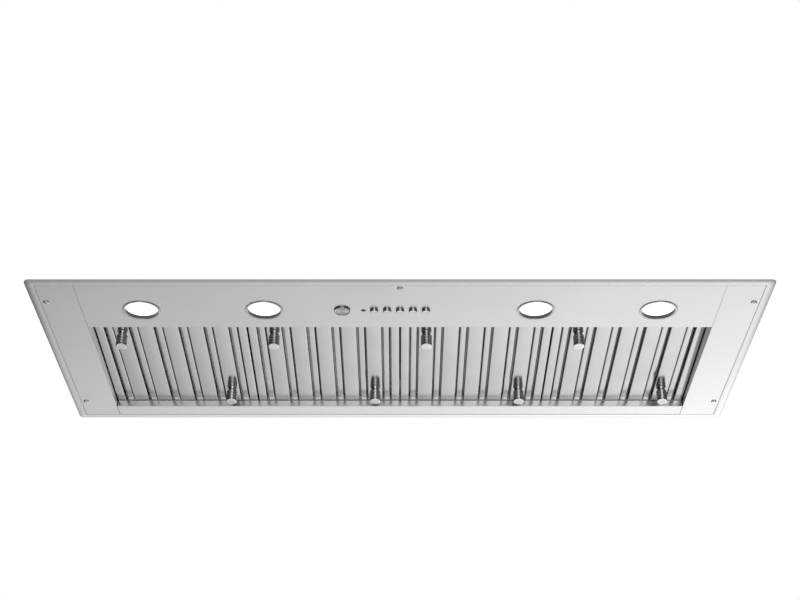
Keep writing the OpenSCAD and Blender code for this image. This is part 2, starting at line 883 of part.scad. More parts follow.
module light_lens(i) {
    color("white") translate([light_x[i - 1], light_y, face_z + lens_recess])
        cylinder(r = lens_r - lens_play, h = lens_t);
}

// ---------- Filters ----------

function filter_x(n) = -bay_half + (n - 0.5) * filter_pitch;

// A filter's own frame: x from its left edge, y from the pivot, z from its mid-plane
module in_filter(n) {
    translate([filter_x(n) - filter_w / 2, pivot_y, pivot_z]) rotate([-filter_slope, 0, 0])
        children();
}

// A channel of folded sheet: a flat of width w with lips of height h, open upwards
module channel(w, h) {
    square([w, baffle_t]);
    square([baffle_t, h]);
    translate([w - baffle_t, 0]) square([baffle_t, h]);
}

// Frame: two side rails with a lip, two end plates and corner blocks with pivot pins
module filter_frame(n) {
    half_t = filter_t / 2;
    y0 = -pivot_inset;
    y1 = filter_len - pivot_inset;
    color(steel) in_filter(n) union() {
        difference() {
            union() {
                for (m = [0, 1]) translate([m * filter_w, 0, 0]) mirror([m, 0, 0])
                    along_y(y0, y1) side_rail();
                for (y = [y0, y1 - sheet_t]) {
                    box([baffle_t, y, -half_t], [filter_w - baffle_t, y + sheet_t, half_t]);
                    box([baffle_t, y == y0 ? y : y1 - rail_top_w, half_t - baffle_t],
                        [filter_w - baffle_t, y == y0 ? y + rail_top_w : y1, half_t]);
                }
                corner_blocks(0);
            }
            for (x = [-over, filter_w - notch_w])
                box([x, y0 - over, -half_t - over],
                    [x + notch_w + over, y0 + notch_d, half_t + over]);
        }
        for (x = [pin_end, filter_w - notch_w - bite]) translate([x, 0, 0]) rotate([0, 90, 0])
            cylinder(r = pin_r, h = notch_w - pin_end + bite, $fn = 32);
    }
}

// Blocks that stiffen the frame's front corners round the pivot pins, with room c round them
module corner_blocks(c) {
    y0 = -pivot_inset;
    for (x = [notch_w, filter_w - notch_w - corner_block])
        box([x - c, y0 - c, -filter_t / 2 - c],
            [x + corner_block + c, y0 + corner_block + c, filter_t / 2 + c]);
}

// Side rail in section: bottom flat, outer web, top flat and a lip along the slot
module side_rail() {
    translate([0, -filter_t / 2]) {
        square([border_w, baffle_t]);
        square([baffle_t, filter_t]);
        translate([0, filter_t - baffle_t]) square([rail_top_w, baffle_t]);
        translate([border_w - baffle_t, 0]) square([baffle_t, lip_h]);
    }
}

// Baffles: lower channels between the slots and upper channels over them
module filter_baffles(n) {
    y0 = -pivot_inset + sheet_t;
    y1 = filter_len - pivot_inset - sheet_t;
    top = filter_t / 2 - baffle_t;
    cap_w = slot_w + 2 * cap_over;
    color(sheet) in_filter(n) difference() {
        union() {
            for (k = [0:slot_n - 2]) along_y(y0, y1)
                translate([border_w + slot_w + k * slot_pitch, -filter_t / 2])
                    channel(flat_w, lip_h);
            for (k = [0:slot_n - 1]) along_y(y0, y1)
                translate([border_w - cap_over + k * slot_pitch, top - cap_gap])
                    mirror([0, 1]) channel(cap_w, lip_h);
        }
        corner_blocks(block_play);
    }
}

// Two ringed knobs, the front one at the left and the rear one at the right
module filter_knobs(n) {
    color(bright) in_filter(n) {
        translate([knob_x, knob_inset - pivot_inset, -filter_t / 2]) knob();
        translate([filter_w - knob_x, filter_len - pivot_inset - knob_inset, -filter_t / 2])
            knob();
    }
}

// A ringed knob that hangs from the XY plane
module knob() {
    neck_h = knob_neck_h;
    neck_r = knob_r * knob_neck_share;
    slant = knob_groove / 4;
    rotate_extrude() polygon(concat(
        [[0, 0], [neck_r, 0], [neck_r, -neck_h]],
        [for (k = [0:knob_ring_n - 1]) each [
            [knob_r, -neck_h - k * knob_ring_pitch - slant],
            [knob_r, -neck_h - (k + 1) * knob_ring_pitch + knob_groove],
            [knob_r - knob_groove, -neck_h - (k + 1) * knob_ring_pitch + knob_groove - slant],
            [knob_r - knob_groove, -neck_h - (k + 1) * knob_ring_pitch + slant]]],
        [[knob_r, -neck_h - knob_ring_n * knob_ring_pitch],
        [knob_r, -knob_h + knob_edge], [knob_r - knob_edge, -knob_h], [0, -knob_h]]));
}

// ---------- Nodes ----------

flange_frame();
side_panel(-1);  // side_panel_left
side_panel(1);  // side_panel_right
control_panel();
rear_panel();
fixing_screws();
filter_shelf();
wiring_cover();
shell_wrap();
shell_end(-1);  // shell_end_left
shell_end(1);  // shell_end_right
discharge_box();
duct_collar();
damper_pin();
damper_flap(-1);  // damper_flap_left
damper_flap(1);  // damper_flap_right
scroll(-1);  // scroll_left
scroll(1);  // scroll_right
motor();
motor_clamps();
motor_shaft();
wheel(-1);  // wheel_left
wheel(1);  // wheel_right
control_box();
control_board();
run_capacitor();
light_driver();
junction_box();
junction_cover();
cable_bushing();
switch_carrier();
switch_board();
for (i = [1:button_n]) button(i);
pilot_lens();
badge();
for (i = [1:4]) light_body(i);
for (i = [1:4]) light_lens(i);
for (n = [1:filter_n])
    filter_frame(n);
for (n = [1:filter_n])
    filter_baffles(n);
for (n = [1:filter_n])
    filter_knobs(n);
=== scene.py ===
"""Built-in range hood: its finishes and finer shapes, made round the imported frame.

Lengths are in metres unless a name ends in _mm. +X is right, +Y the rear and +Z up.
"""

import json
import logging
import math
from dataclasses import dataclass, field
from enum import Enum

import bmesh
import bpy
import numpy as np
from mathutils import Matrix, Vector

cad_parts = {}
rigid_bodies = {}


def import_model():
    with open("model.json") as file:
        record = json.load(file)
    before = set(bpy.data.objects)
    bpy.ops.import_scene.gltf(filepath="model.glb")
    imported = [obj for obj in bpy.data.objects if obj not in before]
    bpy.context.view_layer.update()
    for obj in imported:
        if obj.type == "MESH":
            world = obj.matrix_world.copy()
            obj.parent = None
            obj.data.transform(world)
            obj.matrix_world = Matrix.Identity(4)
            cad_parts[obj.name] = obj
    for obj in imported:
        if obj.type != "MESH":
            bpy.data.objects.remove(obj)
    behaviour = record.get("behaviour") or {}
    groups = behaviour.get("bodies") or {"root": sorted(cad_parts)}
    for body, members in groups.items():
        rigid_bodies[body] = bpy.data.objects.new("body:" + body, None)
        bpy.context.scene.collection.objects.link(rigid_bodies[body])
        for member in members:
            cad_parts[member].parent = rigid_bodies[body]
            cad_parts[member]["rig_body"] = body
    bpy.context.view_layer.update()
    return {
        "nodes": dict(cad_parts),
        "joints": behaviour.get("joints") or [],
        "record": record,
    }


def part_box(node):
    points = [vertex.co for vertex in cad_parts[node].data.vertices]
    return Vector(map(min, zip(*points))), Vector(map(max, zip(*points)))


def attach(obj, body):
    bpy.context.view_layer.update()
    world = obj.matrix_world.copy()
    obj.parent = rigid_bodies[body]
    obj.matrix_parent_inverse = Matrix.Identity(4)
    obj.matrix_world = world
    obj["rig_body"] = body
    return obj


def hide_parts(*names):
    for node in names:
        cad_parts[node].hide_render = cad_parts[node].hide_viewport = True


Array = np.ndarray
log = logging.getLogger("hood")

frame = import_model()
MM = 0.001


# ---------- Shapes ----------

@dataclass
class Skin:
    """One closed skin: its points and its four-cornered faces."""

    points: Array
    faces: Array

    def moved(self, offset: Array) -> "Skin":
        """The same skin moved by an offset."""
        return Skin(self.points + np.asarray(offset, float), self.faces)


class Axis(Enum):
    """The axis that a turned shape stands on, as (across, across, along) columns."""

    X = (1, 2, 0)
    Y = (2, 0, 1)
    Z = (0, 1, 2)


def grid_faces(rows: int, cols: int) -> Array:
    """Faces of a grid of points whose last column joins the first.

    Args:
        rows: Rows of points.
        cols: Points in each row.

    Returns:
        Corner numbers of each face, four to a row.
    """
    row = np.arange(rows - 1)[:, None] * cols
    col = np.arange(cols)[None, :]
    following = (col + 1) % cols
    corners = [row + col, row + following, row + cols + following, row + cols + col]
    return np.stack(corners, axis=-1).reshape(-1, 4)


def rounded(corners: Array, radius: float, steps: int = 5) -> Array:
    """Path through corners, with each inner corner rounded.

    The arc is a parabola: (1-t)^2 times its start, 2t(1-t) times the corner and t^2
    times its end, where start and end lie the radius away along both sides.

    Args:
        corners: Corner points, two numbers to a row.
        radius: Distance from a corner to its arc's ends, less where a side is short.
        steps: Points on each arc.

    Returns:
        Points of the path.
    """
    corner = np.asarray(corners, float)
    side = np.diff(corner, axis=0)
    length = np.linalg.norm(side, axis=1)
    unit = side / length[:, None]
    room = 0.48 * length
    room[[0, -1]] *= 2
    cut = np.minimum(radius, np.minimum(room[:-1], room[1:]))[:, None]
    start, end = corner[1:-1] - unit[:-1] * cut, corner[1:-1] + unit[1:] * cut
    t = np.linspace(0, 1, steps)[None, :, None]
    arc = (1 - t) ** 2 * start[:, None] + 2 * t * (1 - t) * corner[1:-1, None] \
        + t ** 2 * end[:, None]
    return np.vstack([corner[:1], arc.reshape(-1, 2), corner[-1:]])


def turned(profile: Array, centre: Array, axis: Axis = Axis.Z, steps: int = 48) -> Skin:
    """A turned shape: each profile point (r, h) becomes a circle of radius r at height h.

    Args:
        profile: Radius and height of each point, from one pole to the other.
        centre: Where the profile's zero lies.
        axis: The axis of the turning.
        steps: Points round each circle.

    Returns:
        The turned skin.
    """
    angle = np.arange(steps) * 2 * np.pi / steps
    radius, height = np.asarray(profile, float).T
    first, second, along = axis.value
    grid = np.zeros((len(radius), steps, 3))
    grid[..., first] = radius[:, None] * np.cos(angle)
    grid[..., second] = radius[:, None] * np.sin(angle)
    grid[..., along] = height[:, None]
    return Skin(grid.reshape(-1, 3) + np.asarray(centre, float), grid_faces(len(radius), steps))


def folded(path: Array, thickness: float, start: float, end: float, along: int) -> Skin:
    """A folded sheet: its section, carried straight from start to end.

    The section is the path moved half the thickness to either side, at right angles
    to its own direction. The two ends are closed across the thickness.

    Args:
        path: The middle of the sheet in section, two numbers to a row.
        thickness: Sheet thickness.
        start: Where the sheet begins along its length.
        end: Where it ends.
        along: The axis of the length, 0 for x, 1 for y and 2 for z.

    Returns:
        The closed sheet.
    """
    tangent = np.gradient(path, axis=0)
    tangent /= np.linalg.norm(tangent, axis=1)[:, None]
    normal = np.stack([-tangent[:, 1], tangent[:, 0]], axis=1) * thickness / 2
    loop = np.vstack([path + normal, (path - normal)[::-1]])
    n = len(loop)
    section = np.insert(loop, along, 0.0, axis=1)
    run = np.zeros((2, 1, 3))
    run[:, 0, along] = start, end
    i = np.arange(n // 2 - 1)
    lid = np.stack([i, i + 1, n - 2 - i, n - 1 - i], axis=1)
    faces = np.vstack([grid_faces(2, n), lid[:, ::-1], lid + n])
    return Skin((section[None] + run).reshape(-1, 3), faces)


def ring_stack(half_x: Array, half_y: Array, radius: Array, z: Array, steps: int = 6) -> Array:
    """Rows of points round rounded rectangles, one rectangle for each height.

    Each corner is a quarter circle: corner centre plus radius times cosine and sine.

    Args:
        half_x: Half widths.
        half_y: Half depths.
        radius: Corner radii.
        z: Heights.
        steps: Points on each corner.

    Returns:
        Grid of points, one row to a rectangle.
    """
    turn = np.linspace(0, np.pi / 2, steps)
    angle = (np.arange(4)[:, None] * np.pi / 2 + turn).ravel()
    sign_x = np.repeat([1.0, -1.0, -1.0, 1.0], steps)
    sign_y = np.repeat([1.0, 1.0, -1.0, -1.0], steps)
    half_x, half_y, radius, z = (np.asarray(v, float)[:, None] for v in (half_x, half_y, radius, z))
    x = sign_x * (half_x - radius) + radius * np.cos(angle)
    y = sign_y * (half_y - radius) + radius * np.sin(angle)
    return np.stack([x, y, np.broadcast_to(z, x.shape)], axis=-1)


def stacked(grid: Array) -> Skin:
    """A skin from a grid of rings whose first ring also follows the last.

    Args:
        grid: Rows of points, one row to a ring.

    Returns:
        The skin, closed round to its own start.
    """
    rows, cols = grid.shape[:2]
    closed = np.concatenate([grid, grid[:1]])
    return Skin(closed.reshape(-1, 3), grid_faces(rows + 1, cols))


def capped(grid: Array) -> Skin:
    """A skin from a grid of rings, closed by shrinking its end rings to a point.

    Args:
        grid: Rows of points, one row to a ring.

    Returns:
        The closed skin.
    """
    first = np.broadcast_to(grid[0].mean(0), grid[0].shape)[None]
    last = np.broadcast_to(grid[-1].mean(0), grid[-1].shape)[None]
    full = np.concatenate([first, grid, last])
    return Skin(full.reshape(-1, 3), grid_faces(*full.shape[:2]))


def copies(skin: Skin, offsets: Array) -> Skin:
    """One skin at many places, as a single skin.

    Args:
        skin: The skin to repeat.
        offsets: How far each copy is moved, three numbers to a row.

    Returns:
        All the copies.
    """
    offsets = np.asarray(offsets, float)
    points = skin.points[None] + offsets[:, None]
    faces = skin.faces[None] + np.arange(len(offsets))[:, None, None] * len(skin.points)
    return Skin(points.reshape(-1, 3), faces.reshape(-1, 4))


def joined(skins: list[Skin]) -> Skin:
    """Several skins as one.

    Args:
        skins: The skins, in order.

    Returns:
        One skin with all their faces.
    """
    starts = np.cumsum([0] + [len(s.points) for s in skins[:-1]])
    return Skin(np.vstack([s.points for s in skins]),
                np.vstack([s.faces + start for s, start in zip(skins, starts)]))


def middle(node: str) -> Array:
    """The middle of a node's box."""
    low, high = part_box(node)
    return np.array((low + high) / 2)


def size(node: str) -> Array:
    """The size of a node's box."""
    low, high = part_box(node)
    return np.array(high - low)


# ---------- Finishes ----------

def linear(code: str) -> tuple[float, float, float, float]:
    """Linear red, green, blue and alpha of an sRGB hex colour.

    Args:
        code: The colour, as a hash sign and six hex digits.

    Returns:
        Its linear values, with an alpha of 1.
    """
    value = np.array([int(code[i:i + 2], 16) / 255 for i in (1, 3, 5)])
    rgb = np.where(value <= 0.04045, value / 12.92, ((value + 0.055) / 1.055) ** 2.4)
    return (*rgb.tolist(), 1.0)


def add(tree: bpy.types.NodeTree, kind: str, inputs: dict | None = None,
        **settings: object) -> bpy.types.Node:
    """Adds a node.

    Args:
        tree: The tree it goes into.
        kind: The node's type name.
        inputs: Sockets to link from, or constants, by input name or number.
        settings: The node's own settings.

    Returns:
        The node.
    """
    node = tree.nodes.new(kind)
    for name, value in settings.items():
        setattr(node, name, value)
    for key, value in (inputs or {}).items():
        if isinstance(value, bpy.types.NodeSocket):
            tree.links.new(value, node.inputs[key])
        else:
            node.inputs[key].default_value = value
    return node


class Grain(Enum):
    """Which way the lines of a finish run, as a stretch along x, y and z."""

    SIDEWAYS = (0, 1, 1)
    ENDWAYS = (1, 0, 1)
    ROUND = (0, 0, 1)


@dataclass(frozen=True)
class Finish:
    """A finish: two close colours, mottled over a real distance, and a roughness range."""

    name: str
    light: str
    dark: str
    rough: float
    rough_range: float = 0.06
    metallic: float = 0.0
    cloud_mm: float = 80.0
    coat: float = 0.0

    def dress(self, tree: bpy.types.NodeTree, shader: bpy.types.Node,
              place: bpy.types.NodeSocket) -> None:
        """Adds what only this kind of finish has."""

    def build(self) -> bpy.types.Material:
        """Makes the material: colour and roughness drift over clouds of cloud_mm.

        Returns:
            The material.
        """
        material = bpy.data.materials.new(self.name)
        material.use_nodes = True
        tree = material.node_tree
        shader = tree.nodes["Principled BSDF"]
        shader.inputs["Metallic"].default_value = self.metallic
        shader.inputs["Coat Weight"].default_value = self.coat
        place = add(tree, "ShaderNodeTexCoord").outputs["Object"]
        cloud = add(tree, "ShaderNodeTexNoise", {"Vector": place, "Detail": 3.0,
                    "Scale": 1 / (self.cloud_mm * MM)}).outputs["Fac"]
        tint = add(tree, "ShaderNodeMix", {"Factor": cloud, "A": linear(self.dark),
                   "B": linear(self.light)}, data_type="RGBA")
        tree.links.new(tint.outputs[2], shader.inputs["Base Color"])
        rough = add(tree, "ShaderNodeMapRange", {"Value": cloud,
                    "To Min": self.rough - self.rough_range / 2,
                    "To Max": self.rough + self.rough_range / 2})
        tree.links.new(rough.outputs["Result"], shader.inputs["Roughness"])
        self.dress(tree, shader, place)
        return material


@dataclass(frozen=True)
class LinedSteel(Finish):
    """Steel with fine lines from a belt or a tool, in one direction."""

    metallic: float = 1.0
    grain: Grain = Grain.SIDEWAYS
    line_mm: float = 0.9
    line_len_mm: float = 60.0
    line_depth_mm: float = 0.004

    def dress(self, tree: bpy.types.NodeTree, shader: bpy.types.Node,
              place: bpy.types.NodeSocket) -> None:
        """Adds lines: noise squeezed across them and stretched along them, as bump.

        Args:
            tree: The material's tree.
            shader: Its shader.
            place: Object coordinates.
        """
        scale = [1 / (self.line_mm * MM) if across else 1 / (self.line_len_mm * MM)
                 for across in self.grain.value]
        stretched = add(tree, "ShaderNodeMapping", {"Vector": place, "Scale": scale})
        lines = add(tree, "ShaderNodeTexNoise", {"Vector": stretched.outputs[0],
                    "Scale": 1.0, "Detail": 2.0})
        bump = add(tree, "ShaderNodeBump", {"Height": lines.outputs["Fac"],
                   "Strength": 1.0, "Distance": self.line_depth_mm * MM})
        tree.links.new(bump.outputs["Normal"], shader.inputs["Normal"])


@dataclass(frozen=True)
class SpangledZinc(Finish):
    """Hot-dip galvanised sheet: flat crystals of zinc, each of its own grey."""

    metallic: float = 1.0
    crystal_mm: float = 9.0
    warp: float = 0.004             # how far the crystals' edges are bent
    smoother: float = 0.08          # how far a crystal's roughness may fall and rise
    duller: float = 0.1

    def dress(self, tree: bpy.types.NodeTree, shader: bpy.types.Node,
              place: bpy.types.NodeSocket) -> None:
        """Adds crystals: cells of crystal_mm, each with its own tone and roughness.

        Args:
            tree: The material's tree.
            shader: Its shader.
            place: Object coordinates.
        """
        warp = add(tree, "ShaderNodeTexNoise", {"Vector": place,
                   "Scale": 0.5 / (self.crystal_mm * MM)})
        bent = add(tree, "ShaderNodeMix", {"Factor": self.warp, "A": place,
                   "B": warp.outputs["Color"]}, data_type="VECTOR")
        cells = add(tree, "ShaderNodeTexVoronoi", {"Vector": bent.outputs[1],
                    "Scale": 1 / (self.crystal_mm * MM)})
        tone = add(tree, "ShaderNodeSeparateColor", {"Color": cells.outputs["Color"]})
        tint = add(tree, "ShaderNodeMix", {"Factor": tone.outputs[0],
                   "A": linear(self.dark), "B": linear(self.light)}, data_type="RGBA")
        tree.links.new(tint.outputs[2], shader.inputs["Base Color"])
        rough = add(tree, "ShaderNodeMapRange", {"Value": tone.outputs[1],
                    "To Min": self.rough - self.smoother, "To Max": self.rough + self.duller})
        tree.links.new(rough.outputs["Result"], shader.inputs["Roughness"])


@dataclass(frozen=True)
class Grained(Finish):
    """A cast, moulded or sprayed surface with a fine even grain."""

    grain_mm: float = 0.8
    grain_depth_mm: float = 0.02

    def dress(self, tree: bpy.types.NodeTree, shader: bpy.types.Node,
              place: bpy.types.NodeSocket) -> None:
        """Adds grain: noise of grain_mm as bump.

        Args:
            tree: The material's tree.
            shader: Its shader.
            place: Object coordinates.
        """
        grain = add(tree, "ShaderNodeTexNoise", {"Vector": place, "Detail": 2.0,
                    "Scale": 1 / (self.grain_mm * MM)})
        bump = add(tree, "ShaderNodeBump", {"Height": grain.outputs["Fac"],
                   "Strength": 1.0, "Distance": self.grain_depth_mm * MM})
        tree.links.new(bump.outputs["Normal"], shader.inputs["Normal"])


@dataclass(frozen=True)
class LitOpal(Finish):
    """Opal acrylic diffuser with its lamp on."""

    glow: float = 2.0

    def dress(self, tree: bpy.types.NodeTree, shader: bpy.types.Node,
              place: bpy.types.NodeSocket) -> None:
        """Sets the even white light that comes through."""
        shader.inputs["Emission Color"].default_value = linear(self.light)
        shader.inputs["Emission Strength"].default_value = self.glow


@dataclass(frozen=True)
class TracedBoard(Finish):
    """Circuit board: green lacquer over copper tracks."""

    track_mm: float = 2.5
    edge: tuple[float, float] = (0.35, 0.45)    # where a cell turns from board to track

    def dress(self, tree: bpy.types.NodeTree, shader: bpy.types.Node,
              place: bpy.types.NodeSocket) -> None:
        """Adds tracks: the edges of square cells, lighter and a little raised.

        Args:
            tree: The material's tree.
            shader: Its shader.
            place: Object coordinates.
        """
        cells = add(tree, "ShaderNodeTexVoronoi", {"Vector": place,
                    "Scale": 1 / (self.track_mm * MM)}, distance="MANHATTAN")
        edge = add(tree, "ShaderNodeMapRange", {"Value": cells.outputs["Distance"],
                   "From Min": self.edge[0], "From Max": self.edge[1]})
        tint = add(tree, "ShaderNodeMix", {"Factor": edge.outputs["Result"],
                   "A": linear(self.dark), "B": linear(self.light)}, data_type="RGBA")
        tree.links.new(tint.outputs[2], shader.inputs["Base Color"])


# Austenitic stainless sheet, belt-brushed from side to side: soft grey, streaked sideways
BRUSHED = LinedSteel("brushed stainless steel", "#CDCECF", "#C3C4C6", 0.25, 0.04,
                     cloud_mm=220)
# The same sheet, bright-rolled and folded into baffles: a clearer mirror, lines endways
ROLLED = LinedSteel("bright-rolled stainless steel", "#D2D2D2", "#C4C4C4", 0.15, 0.05,
                    cloud_mm=60, grain=Grain.ENDWAYS, line_mm=1.2, line_depth_mm=0.004)
# Stainless bar turned on a lathe and buffed: sharp rings of light, tool marks as rings
TURNED = LinedSteel("turned stainless steel", "#E6E6E6", "#D4D4D4", 0.1, 0.05,
                    grain=Grain.ROUND, line_mm=0.5, line_depth_mm=0.003)
# Polished and nickel-plated steel, for screws, buttons and pins: a softened mirror
POLISHED = LinedSteel("polished nickel-plated steel", "#E0DFDD", "#CFCECC", 0.14, 0.04,
                      line_mm=0.4, line_depth_mm=0.001)
# Etched stainless disc with dark-filled rings
ETCHED = LinedSteel("etched stainless steel", "#D6D7D9", "#5C5D60", 0.24, 0.06,
                    line_mm=1.6, line_len_mm=2.4, line_depth_mm=0.12, cloud_mm=3)
# Hot-dip galvanised steel, for the housing and what is inside it
ZINC = SpangledZinc("hot-dip galvanised steel", "#C6C9CB", "#A4A8AB", 0.36, 0.1)
# Wheel sheet, galvanised after punching: a smaller, duller spangle
WHEEL_ZINC = SpangledZinc("galvanised wheel steel", "#9C9FA2", "#7E8184", 0.42, crystal_mm=4)
# Die-cast aluminium, shot-blasted: satin grey
CAST = Grained("die-cast aluminium", "#C4C5C7", "#B4B5B7", 0.36, metallic=1.0,
               cloud_mm=20, grain_mm=0.7, grain_depth_mm=0.01)
OPAL = LitOpal("opal acrylic", "#FFFEFA", "#F1F0EC", 0.4)
PILOT = Finish("red polycarbonate", "#5A1216", "#3A0C10", 0.14, coat=0.5, cloud_mm=6)
# Stove enamel on the motor: near black with a slight orange peel
ENAMEL = Grained("black stove enamel", "#2A2B2D", "#1F2022", 0.32, coat=0.3,
                 grain_mm=2.0, grain_depth_mm=0.02)
# ABS with a fine spark-eroded grain
BLACK_ABS = Grained("black moulded ABS", "#26272A", "#1D1E20", 0.5)
GREY_ABS = Grained("grey moulded ABS", "#D5D6D3", "#C7C8C5", 0.48)
BOARD = TracedBoard("green circuit board", "#2E7A4C", "#1C5534", 0.3, coat=0.4)

SLOT_FINISH: dict[str, Finish] = {
    "panel_steel": BRUSHED, "baffle_steel": ROLLED, "galvanised": ZINC,
    "bright_metal": POLISHED, "knob_metal": TURNED, "light_body": CAST,
    "light_lens": OPAL, "pilot": PILOT, "badge": ETCHED, "motor_paint": ENAMEL,
    "wheel_steel": WHEEL_ZINC, "black_plastic": BLACK_ABS, "board_green": BOARD,
    "driver_case": GREY_ABS,
}


class Workshop:
    """Makes each finish once and turns skins and CAD copies into dressed pieces."""

    def __init__(self) -> None:
        """Makes every finish and reads each node's slot and body."""
        self.materials = {f.name: f.build() for f in dict.fromkeys(SLOT_FINISH.values())}
        self.bodies = {name: node["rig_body"] for name, node in frame["nodes"].items()}
        self.slots = {part["node"]: part["material_slot"]
                      for part in frame["record"]["subparts"]}

    def finish_of(self, node: str) -> Finish:
        """The finish of the slot that a node takes."""
        return SLOT_FINISH[self.slots[node]]

    def piece(self, name: str, skin: Skin, *stands_for: str, like: str | None = None,
              finish: Finish | None = None, crease: float = 32.0,
              bevel: float = 0.0) -> bpy.types.Object:
        """Makes a piece from a skin.

        Args:
            name: The piece's name.
            skin: Its points and faces.
            stands_for: The CAD nodes that it replaces.
            like: The node whose body and slot it takes, if it replaces none.
            finish: Its finish, if not its slot's.
            crease: Edges sharper than this, in degrees, stay sharp.
            bevel: Width of the rounding of its sharp edges.

        Returns:
            The piece, riding on its body.
        """
        mesh = bpy.data.meshes.new(name)
        mesh.from_pydata(skin.points.tolist(), [], skin.faces.tolist())
        shape = bmesh.new()
        shape.from_mesh(mesh)
        bmesh.ops.remove_doubles(shape, verts=shape.verts, dist=2e-6)
        bmesh.ops.recalc_face_normals(shape, faces=shape.faces)
        shape.to_mesh(mesh)
        shape.free()
        return self.finished(name, mesh, stands_for, like, finish, crease, bevel)

    def copy(self, node: str, bevel_mm: float = 0.4) -> bpy.types.Object:
        """A merged copy of a CAD node with its sharp edges rounded.

        Args:
            node: The node that the copy replaces.
            bevel_mm: Width of the rounding.

        Returns:
            The piece.
        """
        mesh = frame["nodes"][node].data.copy()
        shape = bmesh.new()
        shape.from_mesh(mesh)
        bmesh.ops.remove_doubles(shape, verts=shape.verts, dist=2e-6)
        bmesh.ops.dissolve_limit(shape, angle_limit=math.radians(1), verts=shape.verts,
                                 edges=shape.edges)
        shape.to_mesh(mesh)
        shape.free()
        return self.finished(f"{node}_sheet", mesh, (node,), None, None, 32.0, bevel_mm * MM)

    def finished(self, name: str, mesh: bpy.types.Mesh, stands_for: tuple[str, ...],
                 like: str | None, finish: Finish | None, crease: float,
                 bevel: float) -> bpy.types.Object:
        """Gives a mesh its finish, rounding, body and slot, and logs it.

        Args:
            name: The piece's name.
            mesh: Its mesh.
            stands_for: The nodes that it replaces.
            like: The node whose body and slot it takes, if it replaces none.
            finish: Its finish, if not its slot's.
            crease: Edges sharper than this, in degrees, stay sharp.
            bevel: Width of the rounding of its sharp edges.

        Returns:
            The piece, riding on its body.
        """
        node = like or stands_for[0]
        mesh.materials.clear()
        mesh.materials.append(self.materials[(finish or self.finish_of(node)).name])
        mesh.shade_smooth()
        mesh.set_sharp_from_angle(angle=math.radians(crease))
        thing = bpy.data.objects.new(name, mesh)
        bpy.context.scene.collection.objects.link(thing)
        if bevel > 0:
            edge = thing.modifiers.new("rounded edges", "BEVEL")
            edge.width, edge.segments = bevel, 3
            edge.limit_method, edge.angle_limit = "ANGLE", math.radians(crease)
            edge.harden_normals = True
        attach(thing, self.bodies[node])
        if stands_for:
            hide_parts(*stands_for)
        log.info("%s: %d faces, on %s", name, len(mesh.polygons), self.bodies[node])
        return thing

    def dress_rest(self) -> None:
        """Gives each CAD node that still shows its slot's finish."""
        for name, node in frame["nodes"].items():
            if not node.hide_render:
                node.data.materials.clear()
                node.data.materials.append(self.materials[self.finish_of(name).name])
                log.info("%s: kept, in %s", name, self.finish_of(name).name)


# ---------- Sub-assemblies ----------

